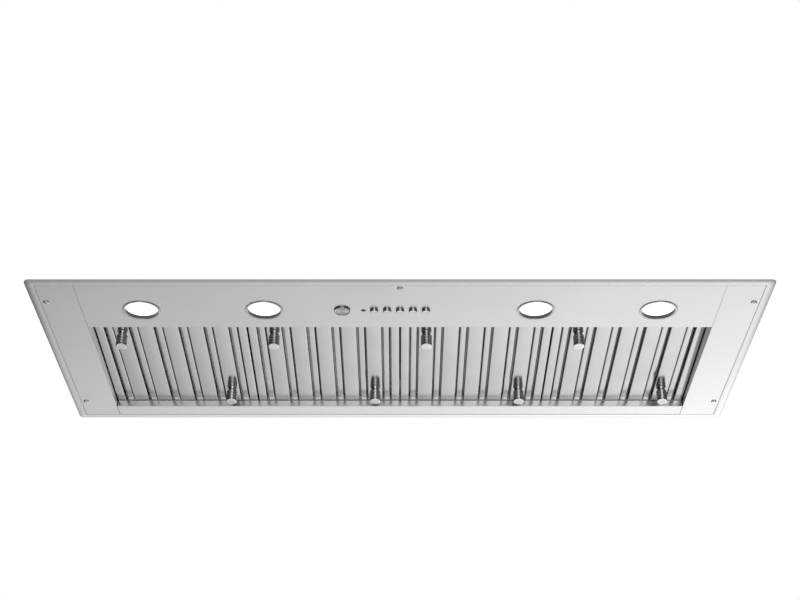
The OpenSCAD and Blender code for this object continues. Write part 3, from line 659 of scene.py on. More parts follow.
@dataclass
class Surround:
    """The flange, the panels that it carries and the screws that hold it up."""

    band: float = 13.6 * MM         # width of the rim
    roll: float = 0.25 * MM         # how much higher the rim's outer edge is
    edge: float = 0.5 * MM          # rounding of the rim
    inset: float = 9 * MM           # how far the upper plate stands back
    corner: float = 8 * MM
    plate: float = 2.4 * MM
    lap: float = 0.4 * MM           # overlap of the rim and the plate
    turn_in: float = 1.4 * MM       # width of the rounding beside the panels
    panel_bevel_mm: float = 1.0
    head_r: float = 4.6 * MM
    shoulder_r: float = 2.3 * MM
    shank_r: float = 2 * MM
    point: float = 1 * MM           # length of a screw's tapered tip
    tip_share: float = 0.6
    recess_rows: int = 3            # rows of a screw's outline that are hexagons
    recess_r: float = 1.7 * MM
    recess_depth: float = 1.1 * MM

    def build(self, shop: Workshop) -> None:
        """Makes the flange, the panels and the screws.

        Args:
            shop: Where the pieces are made.
        """
        self.flange(shop)
        for node in ("side_panel_left", "side_panel_right", "control_panel", "rear_panel"):
            shop.copy(node, self.panel_bevel_mm)
        self.screws(shop)

    def flange(self, shop: Workshop) -> None:
        """Flange: rounded rectangles, from the opening's edge out over the plate, down to
        the rim, round its outer edge and back in below, and up beside the panels.

        Args:
            shop: Where the pieces are made.
        """
        low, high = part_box("flange_frame")
        step = high[2] - self.plate
        rim_top = step + self.lap
        e, r, band, roll = self.edge, self.corner, self.band, self.roll
        rows = np.array([
            # stand-back from the outer edge, corner radius, height
            [self.inset, r, high[2]], [self.inset, r, rim_top], [e, r - e, rim_top],
            [e / 4, r - e / 4, rim_top - e / 4], [0, r, rim_top - e], [0, r, low[2] + roll + e],
            [e / 4, r - e / 4, low[2] + roll + e / 4], [e, r - e, low[2] + roll],
            [band - self.turn_in, 1 * MM, low[2]], [band - 0.5 * MM, 0.5 * MM, low[2] + 0.12 * MM],
            [band, 0.2 * MM, low[2] + 0.6 * MM], [band, 0.2 * MM, step]])
        outer = size("flange_frame")[:2] / 2
        open_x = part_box("shell_end_right")[1][0]
        open_y = size("shell_wrap")[1] / 2
        half_x = np.concatenate([[open_x, open_x], outer[0] - rows[:, 0]])
        half_y = np.concatenate([[open_y, open_y], outer[1] - rows[:, 0]])
        radius = np.concatenate([[0.2 * MM, 0.2 * MM], rows[:, 1]])
        z = np.concatenate([[step, high[2]], rows[:, 2]])
        shop.piece("flange", stacked(ring_stack(half_x, half_y, radius, z)), "flange_frame",
                   crease=20)

    def screws(self, shop: Workshop) -> None:
        """Screws: a domed head turned about z, its recess a hexagon that fades into the
        circle of the dome, and the shoulder and shank behind it.

        Args:
            shop: Where the pieces are made.
        """
        low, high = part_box("fixing_screws")
        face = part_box("side_panel_left")[0][2]
        tip = high[2] - face
        head = face - low[2]
        shoulder, shank, seat = self.shoulder_r, self.shank_r, -face
        steps = 48
        angle = np.arange(steps) * 2 * np.pi / steps
        hexagon = np.cos(np.pi / 6) / np.cos((angle + np.pi / 6) % (np.pi / 3) - np.pi / 6)
        deep = self.recess_depth - head
        rows = np.array([
            # radius, height from the panels' lower face
            [0, deep], [self.recess_r, deep], [self.recess_r, 0.1 * MM - head],
            [2.6 * MM, 0.05 * MM - head], [3.6 * MM, 0.3 * MM - head],
            [self.head_r - 0.4 * MM, 0.8 * MM - head], [self.head_r, 1.3 * MM - head],
            [self.head_r, 0], [shoulder, 0], [shoulder, seat], [shank, seat],
            [shank, tip - self.point], [shank * self.tip_share, tip], [0, tip]])
        radius, height = rows.T
        six = (np.arange(len(rows)) < self.recess_rows)[:, None]
        reach = radius[:, None] * (1 + six * (hexagon - 1))
        grid = np.stack([reach * np.cos(angle), reach * np.sin(angle),
                         np.broadcast_to(height[:, None], reach.shape)], axis=-1)
        screw = Skin(grid.reshape(-1, 3), grid_faces(*reach.shape))
        bolts = next(m for m in frame["record"]["mounts"] if m["name"] == "fixing_screws")
        half = np.array([bolts["dims"]["spacing_x_mm"], bolts["dims"]["spacing_y_mm"]]) * MM / 2
        corners = np.array([[1, 1], [-1, 1], [-1, -1], [1, -1]]) * half
        places = np.vstack([corners, [0, low[1] + self.head_r]])
        shop.piece("screws", copies(screw, np.insert(places, 2, face, axis=1)),
                   "fixing_screws", crease=28)


@dataclass
class ControlRow:
    """Five push buttons, the pilot light, the badge and the switches behind them."""

    buttons: int = 5
    cap_r: float = 6.5 * MM
    stem_r: float = 3 * MM
    collar_low: float = -2.1 * MM
    collar_thick: float = 1.5 * MM
    dish: float = 0.15 * MM         # depth of the hollow in a button's face
    dish_r: float = 3.4 * MM
    rim_wide: float = 0.5 * MM      # the slope at the edge of a button's face
    rim_deep: float = 0.35 * MM
    rounding: float = 0.4 * MM
    badge_rim: float = 1.8 * MM
    badge_rings: int = 4
    ring_depth: float = 0.3 * MM
    badge_floor: float = 0.5 * MM

    def build(self, shop: Workshop) -> None:
        """Makes what shows in the panel, and the parts behind it.

        Args:
            shop: Where the pieces are made.
        """
        for i in range(1, self.buttons + 1):
            self.button(shop, f"button_{i}")
        self.pilot(shop)
        self.badge(shop)
        for node in ("switch_carrier", "switch_board"):
            shop.copy(node, 0.3)

    def button(self, shop: Workshop, node: str) -> None:
        """Button: a dished cap with a rounded rim, its collar and its stem, turned about z.

        Args:
            shop: Where the pieces are made.
            node: The CAD node that it stands for.
        """
        low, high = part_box(node)
        centre = middle(node) * [1, 1, 0]
        cap, collar, stem = self.cap_r, size(node)[0] / 2, self.stem_r
        collar_low, collar_top = self.collar_low, self.collar_low + self.collar_thick
        outline = np.array([[0, low[2] + self.dish],
                            [self.dish_r, low[2] + self.dish * 2 / 3],
                            [cap - self.rim_wide, low[2]], [cap, low[2] + self.rim_deep],
                            [cap, collar_low], [collar, collar_low],
                            [collar, collar_top], [stem, collar_top],
                            [stem, high[2]], [0, high[2]]])
        profile = rounded(outline, self.rounding, 5)
        shop.piece(f"{node}_cap", turned(profile, centre), node, crease=40)

    def pilot(self, shop: Workshop) -> None:
        """Pilot light: a low dome, its height falling as the square of the radius.

        Args:
            shop: Where the pieces are made.
        """
        low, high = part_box("pilot_lens")
        r = size("pilot_lens")[0] / 2
        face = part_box("control_panel")[0][2]
        t = np.linspace(0, 1, 9)
        dome = np.stack([t * r, low[2] + (face - low[2]) * t ** 2], axis=1)
        profile = np.vstack([dome, [[r, high[2]], [0, high[2]]]])
        shop.piece("pilot_dome", turned(profile, middle("pilot_lens") * [1, 1, 0]), "pilot_lens",
                   crease=40)

    def badge(self, shop: Workshop) -> None:
        """Badge: a disc with a rounded raised rim, and rings as a cosine of the radius.

        Args:
            shop: Where the pieces are made.
        """
        low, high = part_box("badge")
        r = size("badge")[0] / 2
        rim, rings = self.badge_rim, self.badge_rings
        depth, floor = self.ring_depth, self.badge_floor
        s = np.linspace(0, r - rim, 49)
        wave = low[2] + floor + depth * (1 - np.cos(s / (r - rim) * rings * 2 * np.pi)) / 2
        edge = rounded(np.array([[r - rim, low[2] + floor], [r - rim, low[2]], [r, low[2]],
                                 [r, high[2]], [0, high[2]]]), 0.5 * MM)
        profile = np.vstack([np.stack([s, wave], axis=1), edge])
        shop.piece("badge_disc", turned(profile, middle("badge") * [1, 1, 0], steps=64),
                   "badge", crease=45)


@dataclass
class LightUnit:
    """One recessed light: bezel, reflector, diffuser and finned body."""

    number: int
    bezel: float = 3 * MM
    wall: float = 1.4 * MM
    fins: int = 12
    fin_h: float = 14 * MM
    sunk: float = 0.4 * MM          # how deep the fins stand in the deck
    fin_taper: float = 0.6 * MM
    roof: float = 4 * MM            # thickness between the reflector and the fins
    lip: float = 1 * MM
    mouth: tuple[float, float] = (0.5 * MM, 0.6 * MM)   # slope of the bezel's inner edge
    bulge: float = 0.3 * MM         # how far the diffuser's edge stands back
    # Black ring inside the bezel's mouth: painted shade, a dark band standing in for the shadow on
    # the recess wall below the diffuser
    painted_shade_ring_in: tuple[float, float] = (0.3 * MM, 0.05 * MM)      # at its top and its foot
    painted_shade_ring_drop: float = 0.1 * MM
    painted_shade_ring_foot: tuple[float, float] = (0.9 * MM, 0.7 * MM)     # its foot's two edges
    edge: float = 0.45 * MM
    core_r: float = 9 * MM
    fin_half_t: float = 1 * MM

    def build(self, shop: Workshop) -> None:
        """Makes the body with its fins, and the diffuser.

        Args:
            shop: Where the pieces are made.
        """
        body, lens = f"light_{self.number}_body", f"light_{self.number}_lens"
        low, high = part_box(body)
        lens_low, lens_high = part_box(lens)
        lens_r = size(lens)[0] / 2
        outer = lens_r + self.wall
        centre = middle(body) * [1, 1, 0]
        face = low[2] + self.lip
        deck = high[2] - self.fin_h
        ceiling = deck - self.roof
        inside = np.array([[0, ceiling], [lens_r, ceiling], [lens_r, low[2] + self.mouth[1]]])
        outside = np.array([[lens_r + self.mouth[0], low[2]], [outer + self.bezel, low[2]],
                            [outer + self.bezel, face], [outer, face], [outer, deck],
                            [0, deck]])
        ring = rounded(np.vstack([inside, outside]), self.edge, 5)
        skins = [turned(ring, centre, steps=72), self.cooling(centre, outer, deck, high[2])]
        shop.piece(f"light_{self.number}_can", joined(skins), body, crease=40)
        # Black ring round the diffuser's edge: painted shade, put where the recess wall below the
        # diffuser lies in shadow
        painted_shade_ring = [[lens_r, lens_low[2]],
                  [lens_r - self.painted_shade_ring_in[0], lens_low[2] - self.painted_shade_ring_drop],
                  [lens_r - self.painted_shade_ring_in[1], low[2] + self.painted_shade_ring_foot[0]],
                  [lens_r, low[2] + self.painted_shade_ring_foot[1]],
                  [lens_r, lens_low[2]]]
        shop.piece(f"light_{self.number}_throat", turned(painted_shade_ring, centre, steps=72), like=body,
                   finish=BLACK_ABS, crease=40)
        t = np.linspace(0, 1, 13)
        dome = np.stack([t * lens_r, lens_low[2] + self.bulge * t ** 4], axis=1)
        profile = np.vstack([dome, [[lens_r, lens_high[2]], [0, lens_high[2]]]])
        shop.piece(f"light_{self.number}_diffuser", turned(profile, centre, steps=72), lens,
                   crease=45)

    def cooling(self, centre: Array, outer: float, deck: float, top: float) -> Skin:
        """Fins: upright rounded bars, one of them turned to each angle round the core.

        Args:
            centre: Middle of the body.
            outer: Its outer radius.
            deck: Where the fins stand.
            top: Where they end.

        Returns:
            The fins and their core.
        """
        half = np.array([(outer - self.core_r) / 2, self.fin_half_t])
        z = np.array([deck - self.sunk, top - self.fin_taper, top])
        inset = np.array([0, 0, 0.5 * MM])
        bar = capped(ring_stack(half[0] - inset, half[1] - inset, 0.5 * MM - inset / 2, z, 3))
        bar = bar.moved([self.core_r - 1 * MM + half[0], 0, 0])
        angle = np.arange(self.fins) * 2 * np.pi / self.fins
        cos, sin = np.cos(angle)[:, None], np.sin(angle)[:, None]
        bar_x, bar_y, bar_z = bar.points.T
        points = np.stack([bar_x * cos - bar_y * sin, bar_x * sin + bar_y * cos,
                           np.broadcast_to(bar_z, (self.fins, len(bar_z)))], axis=-1) + centre
        faces = bar.faces[None] + np.arange(self.fins)[:, None, None] * len(bar_z)
        core = turned([[0, z[0]], [self.core_r, z[0]], [self.core_r, top],
                       [0, top]], centre, steps=24)
        return joined([Skin(points.reshape(-1, 3), faces.reshape(-1, 4)), core])


@dataclass
class BaffleFilter:
    """One drop-down filter: frame, folded channels and two knobs, in its own frame.

    There x runs from its left edge, y from its pivot to the rear and z from its middle.
    """

    number: int
    slope_deg: float = 2.6
    thick: float = 11 * MM
    sheet: float = 0.8 * MM
    bend: float = 1.1 * MM
    border: float = 14.5 * MM
    slot: float = 15.5 * MM
    slots: int = 6
    lip: float = 5.2 * MM
    over: float = 6 * MM
    gap: float = 0.6 * MM
    rib: float = 8.4 * MM
    press: float = 3.6 * MM
    rib_bend: float = 0.8 * MM
    pivot_in: float = 5 * MM
    plate: float = 1.2 * MM
    notch: tuple[float, float] = (8 * MM, 15 * MM)
    block: float = 14 * MM
    knob_x: float = 42.9 * MM
    knob_in: float = 38 * MM
    fold_in: float = 8 * MM         # how far the rails and end plates turn in at the top
    pin_r: float = 2.5 * MM
    pin_tip: float = 1.5 * MM
    knob_r: float = 9.25 * MM
    knob_tall: float = 24 * MM
    groove: float = 1.6 * MM
    ring_pitch: float = 5.5 * MM
    neck: float = 4 * MM
    neck_share: float = 0.75
    left: float = field(init=False)
    width: float = field(init=False)
    pivot: Array = field(init=False)
    back: float = field(init=False)

    def __post_init__(self) -> None:
        """Reads the filter's place from its frame node and its joint."""
        low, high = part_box(f"filter_{self.number}_frame")
        self.left, self.width = low[0], high[0] - low[0]
        joint = next(j for j in frame["joints"] if j["name"] == f"filter_{self.number}_drop")
        self.pivot = np.array(joint["pos_m"])
        turn = math.radians(self.slope_deg)
        self.back = (high[1] - self.pivot[1] - self.thick / 2 * math.sin(turn)) / math.cos(turn)

    def placed(self, skin: Skin) -> Skin:
        """The skin turned by the slope about the pivot's axis and moved to its place.

        Args:
            skin: A skin in the filter's own frame.

        Returns:
            The same skin in the hood's frame.
        """
        turn = math.radians(self.slope_deg)
        x, y, z = skin.points.T
        return Skin(np.stack([
            x + self.left, y * math.cos(turn) + z * math.sin(turn) + self.pivot[1],
            z * math.cos(turn) - y * math.sin(turn) + self.pivot[2]], axis=1), skin.faces)

    def build(self, shop: Workshop) -> None:
        """Makes the channels, the frame and the knobs.

        Args:
            shop: Where the pieces are made.
        """
        n = self.number
        shop.piece(f"filter_{n}_channels", self.placed(self.channels()),
                   f"filter_{n}_baffles", crease=40)
        shop.piece(f"filter_{n}_rails", self.placed(self.rails()), f"filter_{n}_frame",
                   crease=40)
        shop.piece(f"filter_{n}_grips", self.placed(self.knobs()), f"filter_{n}_knobs",
                   crease=40)

    def trough(self, width: float, base: float, up: float) -> Array:
        """Middle of a channel's sheet: lip, flat and lip; up is 1 for lips upwards.

        Args:
            width: Width of the channel.
            base: Height of its flat's outer face.
            up: 1 for lips upwards, -1 for lips downwards.

        Returns:
            Points of the path.
        """
        half = self.sheet / 2
        corners = np.array([[half, self.lip], [half, half], [width - half, half],
                            [width - half, self.lip]])
        path = rounded(corners, self.bend, 6)
        return path * [1, up] + [0, base]

    def ribbed(self, width: float, base: float) -> Array:
        """Middle of an upper channel's sheet: lips down and a rib pressed down between.

        Args:
            width: Width of the channel.
            base: Height of its flat's outer face.

        Returns:
            Points of the path.
        """
        half, middle_x = self.sheet / 2, width / 2
        foot, crest, deep = self.rib / 2 + self.press, self.rib / 2, half + self.press
        corners = np.array([
            [half, self.lip], [half, half], [middle_x - foot, half], [middle_x - crest, deep],
            [middle_x + crest, deep], [middle_x + foot, half], [width - half, half],
            [width - half, self.lip]])
        return rounded(corners, self.rib_bend, 5) * [1, -1] + [0, base]

    def channels(self) -> Skin:
        """Lower channels between the slots and upper ones over them, carried endways.

        Returns:
            All the channels.
        """
        front, back = self.plate - self.pivot_in, self.back - self.plate
        flat = (self.width - 2 * self.border - self.slots * self.slot) / (self.slots - 1)
        pitch = flat + self.slot
        lower = folded(self.trough(flat, -self.thick / 2, 1), self.sheet, front, back, 1)
        cover = self.ribbed(self.slot + 2 * self.over, self.thick / 2 - self.sheet - self.gap)
        upper = folded(cover, self.sheet, front, back, 1)
        first = folded(cover, self.sheet, front + self.block, back, 1)
        low_x = self.border + self.slot + np.arange(self.slots - 1) * pitch
        high_x = self.border - self.over + np.arange(self.slots) * pitch
        zero = np.zeros_like
        return joined([
            copies(lower, np.stack([low_x, zero(low_x), zero(low_x)], axis=1)),
            copies(upper, np.stack([high_x[1:-1]] + [zero(high_x[1:-1])] * 2, axis=1)),
            copies(first, np.stack([high_x[[0, -1]]] + [zero(high_x[:2])] * 2, axis=1))])

    def rails(self) -> Skin:
        """Side rails, end plates, corner blocks and pivot pins of the frame.

        Returns:
            The whole frame.
        """
        half, low, high = self.sheet / 2, -self.thick / 2, self.thick / 2
        rail_path = rounded([[self.border - half, low + self.lip], [self.border - half, low + half],
                             [half, low + half], [half, high - half],
                             [self.fold_in, high - half]],
                            self.bend, 6)
        stub_path = rounded([[self.border - half, low + self.lip], [self.border - half, low + half],
                             [self.notch[0], low + half]], self.bend, 6)
        front = -self.pivot_in
        skins = []
        for flip in (False, True):
            side = joined([
                folded(rail_path, self.sheet, front + self.notch[1], self.back, 1),
                folded(stub_path, self.sheet, front, front + self.notch[1], 1),
                self.corner_block(front), self.pin()])
            if flip:
                side = Skin(side.points * [-1, 1, 1] + [self.width, 0, 0], side.faces[:, ::-1])
            skins.append(side)
        half_p = self.plate / 2
        for y, way, inset in ((front, 1, self.notch[0]), (self.back, -1, self.sheet)):
            path = rounded([[y + way * half_p, low], [y + way * half_p, high - half],
                            [y + way * self.fold_in, high - half]], 1.2 * MM, 5)
            skins.append(folded(path, self.sheet, inset, self.width - inset, 0))
        return joined(skins)

    def corner_block(self, front: float) -> Skin:
        """Corner block: rounded rectangles with their top and bottom rims drawn in.

        Args:
            front: Where the block starts, from the pivot.

        Returns:
            The block.
        """
        half, rim = self.block / 2, 0.4 * MM
        inset = np.array([rim, 0, 0, rim])
        z = np.array([-self.thick / 2, rim - self.thick / 2, self.thick / 2 - rim, self.thick / 2])
        grid = ring_stack(half - inset, half - inset, 1 * MM - inset, z, 3)
        return capped(grid).moved([self.notch[0] + half, front + half, 0])

    def pin(self) -> Skin:
        """Pivot pin: a bar along x with a chamfered tip.

        Returns:
            The left pin.
        """
        r, tip = self.pin_r, self.pin_tip
        return turned([[0, tip], [r - 0.5 * MM, tip], [r, tip + 0.5 * MM],
                       [r, self.notch[0] + 0.4 * MM], [0, self.notch[0] + 0.4 * MM]],
                      [0, 0, 0], Axis.X, 32)

    def knobs(self) -> Skin:
        """Knobs: neck, three round-edged rings with grooves between, and a cap, turned.

        Returns:
            Both knobs.
        """
        r, groove, pitch = self.knob_r, self.groove, self.ring_pitch
        neck, tall, neck_r = self.neck, self.knob_tall, self.knob_r * self.neck_share
        outline = [[0, 0.4 * MM], [neck_r, 0.4 * MM], [neck_r, -neck]]
        for k in range(3):
            bottom = -neck - (k + 1) * pitch
            outline += [[r, -neck - k * pitch - 0.4 * MM], [r, bottom + groove],
                        [r - groove, bottom + groove - 0.4 * MM], [r - groove, bottom + 0.4 * MM]]
        outline += [[r, -neck - 3 * pitch], [r, -tall + 0.3 * MM], [r - 1.2 * MM, -tall],
                    [0, -tall]]
        knob = turned(rounded(outline, 0.7 * MM, 5), [0, 0, -self.thick / 2], steps=64)
        places = [[self.knob_x, self.knob_in - self.pivot_in, 0],
                  [self.width - self.knob_x, self.back - self.knob_in, 0]]
        return copies(knob, places)


@dataclass
class Housing:
    """The sheet housing above the surround, with its collar, dampers and cable inlet."""

    rivet_pitch: float = 58 * MM
    rivet_r: float = 2.4 * MM
    front_wall: float = 16 * MM
    flat_top: float = 108 * MM
    rivet_high: float = 0.9 * MM
    rivet_in: float = 9 * MM
    rivet_sunk: float = 0.3 * MM
    slope_from: float = 14 * MM     # first rivet on the slope, from its front
    slope_to: float = 118 * MM      # last one, from the wrap's back
    slope_less: float = 100 * MM    # the wrap's depth that has none
    back_from: float = 12 * MM      # lowest rivet on the back
    back_rivets: int = 4
    collar_r: float = 74 * MM
    bead_in: tuple[float, float] = (8 * MM, 20 * MM)
    bead_r: float = 1.5 * MM
    bead_half: float = 1.8 * MM
    bead_sunk: float = 0.3 * MM

    def build(self, shop: Workshop) -> None:
        """Rounds the sheets, then adds the rivets and the collar's beads.

        Args:
            shop: Where the pieces are made.
        """
        for node in ("shell_wrap", "shell_end_left", "shell_end_right", "discharge_box",
                     "filter_shelf", "wiring_cover", "junction_box", "junction_cover",
                     "scroll_left", "scroll_right", "damper_flap_left", "damper_flap_right"):
            shop.copy(node, 0.3)
        self.rivets(shop)
        self.collar(shop)
        self.bushing(shop)

    def rivets(self, shop: Workshop) -> None:
        """Rivets: low domes along the wrap's edges, half a circle in section.

        Args:
            shop: Where the pieces are made.
        """
        low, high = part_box("shell_wrap")
        t = np.linspace(0, np.pi / 2, 5)
        head = turned(np.stack([self.rivet_r * np.sin(t),
                                self.rivet_high * np.cos(t)], axis=1),
                      [0, 0, 0], steps=12)
        base = turned([[self.rivet_r, 0], [0, -self.rivet_sunk]], [0, 0, 0], steps=12)
        dome = joined([head, base])
        inset = self.rivet_in
        count = int((high[1] - self.slope_less - low[1]) / self.rivet_pitch)
        slope_y = np.linspace(low[1] + self.slope_from, high[1] - self.slope_to, count)
        front, flat = self.front_wall, self.flat_top
        rise = (high[2] - front) / (high[1] - low[1] - flat)
        slope_z = front + (slope_y - low[1]) * rise
        tilt = math.atan(rise)
        x, y, z = dome.points.T
        leaning = Skin(np.stack([x, y * math.cos(tilt) - z * math.sin(tilt),
                                 y * math.sin(tilt) + z * math.cos(tilt)], axis=1), dome.faces)
        slope = np.array([[x0, y0, z0] for x0 in (low[0] + inset, high[0] - inset)
                          for y0, z0 in zip(slope_y, slope_z)])
        back_z = np.linspace(self.back_from, high[2] - inset, self.back_rivets)
        back = np.array([[x0, high[1], z0] for x0 in (low[0] + inset, high[0] - inset)
                         for z0 in back_z])
        facing = Skin(np.stack([x, z, -y], axis=1), dome.faces)
        skins = [copies(leaning, slope), copies(facing, back)]
        shop.piece("shell_rivets", joined(skins), like="shell_wrap", crease=60,
                   finish=POLISHED)

    def collar(self, shop: Workshop) -> None:
        """Collar: its rounded mouth and two beads, turned about the duct's axis.

        Args:
            shop: Where the pieces are made.
        """
        shop.copy("duct_collar", 0.3)
        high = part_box("duct_collar")[1]
        r = self.collar_r
        centre = middle("duct_collar") * [1, 0, 1]
        t = np.linspace(0, np.pi, 9)
        bead = np.stack([r - self.bead_sunk + self.bead_r * np.sin(t),
                         self.bead_half * np.cos(t)], axis=1)
        ring = np.vstack([bead, bead[:1]])
        for k, y in enumerate(high[1] - np.array(self.bead_in)):
            shop.piece(f"collar_bead_{k + 1}", turned(ring + [0, y], centre, Axis.Y, 96),
                       like="duct_collar", crease=50)

    def bushing(self, shop: Workshop) -> None:
        """Cable bushing: a grommet with rounded lips, turned about x.

        Args:
            shop: Where the pieces are made.
        """
        low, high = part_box("cable_bushing")
        centre = middle("cable_bushing") * [0, 1, 1]
        bore, waist, lip, t = 6.5 * MM, 10 * MM, 13 * MM, 3 * MM
        outline = [[bore, (low[0] + high[0]) / 2], [bore, low[0]], [lip, low[0]],
                   [lip, low[0] + t], [waist, low[0] + t], [waist, high[0] - t],
                   [lip, high[0] - t], [lip, high[0]], [bore, high[0]],
                   [bore, (low[0] + high[0]) / 2]]
        shop.piece("bushing_grommet", turned(rounded(outline, 0.9 * MM), centre, Axis.X),
                   "cable_bushing", crease=40)


@dataclass
class Blower:
    """The motor with its ribs and bands, its shaft and the two bladed wheels."""

    blades: int = 32
    ribs: int = 9
    bore_r: float = 6.1 * MM
    shaft_r: float = 6.05 * MM
    dome: float = 12 * MM
    rib_depth: float = 0.6 * MM
    end_share: float = 0.45         # radius at which the motor's domed ends start
    boss_share: float = 0.4
    step: float = 0.02              # share of the dome that is the step round the boss
    disc: float = 1.5 * MM          # thickness of a wheel's disc and ring
    chord: float = 11 * MM
    blade_t: float = 0.9 * MM
    blade_in: float = 0.6 * MM      # how far a blade stops inside the wheel's edge
    camber: float = 3.4 * MM        # how far it curves sideways, and where it starts
    camber_from: float = 3.2 * MM
    hub_r: float = 14 * MM
    hub_len: float = 22 * MM

    def build(self, shop: Workshop) -> None:
        """Makes the motor, the clamps and both wheels.

        Args:
            shop: Where the pieces are made.
        """
        self.motor(shop)
        shop.copy("motor_clamps", 0.4)
        for side in ("left", "right"):
            self.wheel(shop, f"wheel_{side}", 1 if side == "right" else -1)

    def motor(self, shop: Workshop) -> None:
        """Motor: two domed ends and a middle whose radius dips as a cosine for its ribs.

        Args:
            shop: Where the pieces are made.
        """
        low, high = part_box("motor")
        r = size("motor")[1] / 2
        centre = middle("motor") * [0, 1, 1]
        bore, dome = self.bore_r, self.dome
        x = np.linspace(low[0] + dome, high[0] - dome, 12 * self.ribs + 1)
        ribbed = r - self.rib_depth * (1 - np.cos((x - x[0]) / (x[-1] - x[0]) * self.ribs
                                           * 2 * np.pi)) / 2
        t = np.linspace(0, np.pi / 2, 7)
        start, step = self.end_share, self.step
        end = np.stack([r * start + r * (1 - start) * np.sin(t),
                        low[0] + dome * (1 - np.cos(t)) * (1 - step) + step * dome], axis=1)
        hub = np.array([[bore, low[0] + dome], [bore, low[0]], [r * self.boss_share, low[0]]])
        left = np.vstack([hub, end])
        right = (left * [1, -1] + [0, low[0] + high[0]])[::-1]
        profile = np.vstack([left, np.stack([ribbed, x], axis=1), right, left[:1]])
        shop.piece("motor_can", turned(profile, centre, Axis.X, 64), "motor", crease=40)

    def wheel(self, shop: Workshop, node: str, side: int) -> None:
        """Wheel: hub disc, end ring and curved blades, each blade an arc carried along x
        and turned to its angle.

        Args:
            shop: Where the pieces are made.
            node: The CAD node that it stands for.
            side: 1 on the right, -1 on the left.
        """
        low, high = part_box(node)
        r = size(node)[1] / 2 - 0.1 * MM
        disc, chord, thick = self.disc, self.chord, self.blade_t
        near, far = (low[0], high[0]) if side > 0 else (high[0], low[0])
        centre = middle(node) * [0, 1, 1]
        t = np.linspace(0, 1, 7)
        curve = self.camber_from - self.camber * np.sin(t * np.pi / 2)
        path = np.stack([r - self.blade_in - chord * (1 - t) * 0.9, side * curve], axis=1)
        blade = folded(path, thick, near + side * disc * 0.5, far - side * disc * 0.5, 0)
        x, y, z = blade.points.T
        angle = (np.arange(self.blades) * 2 * np.pi / self.blades)[:, None]
        points = np.stack([np.broadcast_to(x, (self.blades, len(x))),
                           y * np.cos(angle) - z * np.sin(angle),
                           y * np.sin(angle) + z * np.cos(angle)], axis=-1) + centre
        faces = blade.faces[None] + np.arange(self.blades)[:, None, None] * len(x)
        shaft, hub, hub_len = self.shaft_r, self.hub_r, self.hub_len
        plate = np.array([[shaft, 0], [r - 0.4 * MM, 0], [r, 0.4 * MM], [r, disc], [hub, disc],
                          [hub - 0.5 * MM, hub_len], [shaft, hub_len], [shaft, 0]])
        ring = np.array([[r - chord, -disc], [r, -disc], [r, 0], [r - chord, 0],
                         [r - chord, -disc]])
        skins = [Skin(points.reshape(-1, 3), faces.reshape(-1, 4)),
                 turned(plate * [1, side] + [0, near], centre, Axis.X, 64),
                 turned(ring * [1, side] + [0, far], centre, Axis.X, 64)]
        shop.piece(f"{node}_cage", joined(skins), node, crease=40)


@dataclass
class WiringBay:
    """What sits on the control panel's upper side, in front of the wiring cover."""

    foot_half: tuple[float, float] = (10 * MM, 6 * MM)
    foot_round: float = 1.5 * MM

    def build(self, shop: Workshop) -> None:
        """Rounds the boxes and turns the capacitor with its crimped end.

        Args:
            shop: Where the pieces are made.
        """
        for node in ("control_box", "control_board", "light_driver"):
            shop.copy(node, 0.5)
        low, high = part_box("run_capacitor")
        tall = size("run_capacitor")[2] / 2
        centre = np.array([0, high[1] - tall, middle("run_capacitor")[2]])
        outline = [[0, low[0] + 1.5 * MM], [tall - 2 * MM, low[0] + 1.5 * MM],
                   [tall - 1.2 * MM, low[0]], [tall, low[0]], [tall, low[0] + 3 * MM],
                   [tall - 0.9 * MM, low[0] + 4.5 * MM], [tall, low[0] + 6 * MM],
                   [tall, high[0]], [0, high[0]]]
        can = turned(rounded(outline, 0.9 * MM), centre, Axis.X, 48)
        deep = np.array([low[1], centre[1]])
        half_x, half_z = self.foot_half
        grid = ring_stack([half_x] * 2, [half_z] * 2, [self.foot_round] * 2, deep, 4)
        x, z, y = np.moveaxis(grid, -1, 0)
        foot = capped(np.stack([x, y, z + centre[2]], axis=-1))
        shop.piece("capacitor_can", joined([can, foot]), "run_capacitor", crease=40)


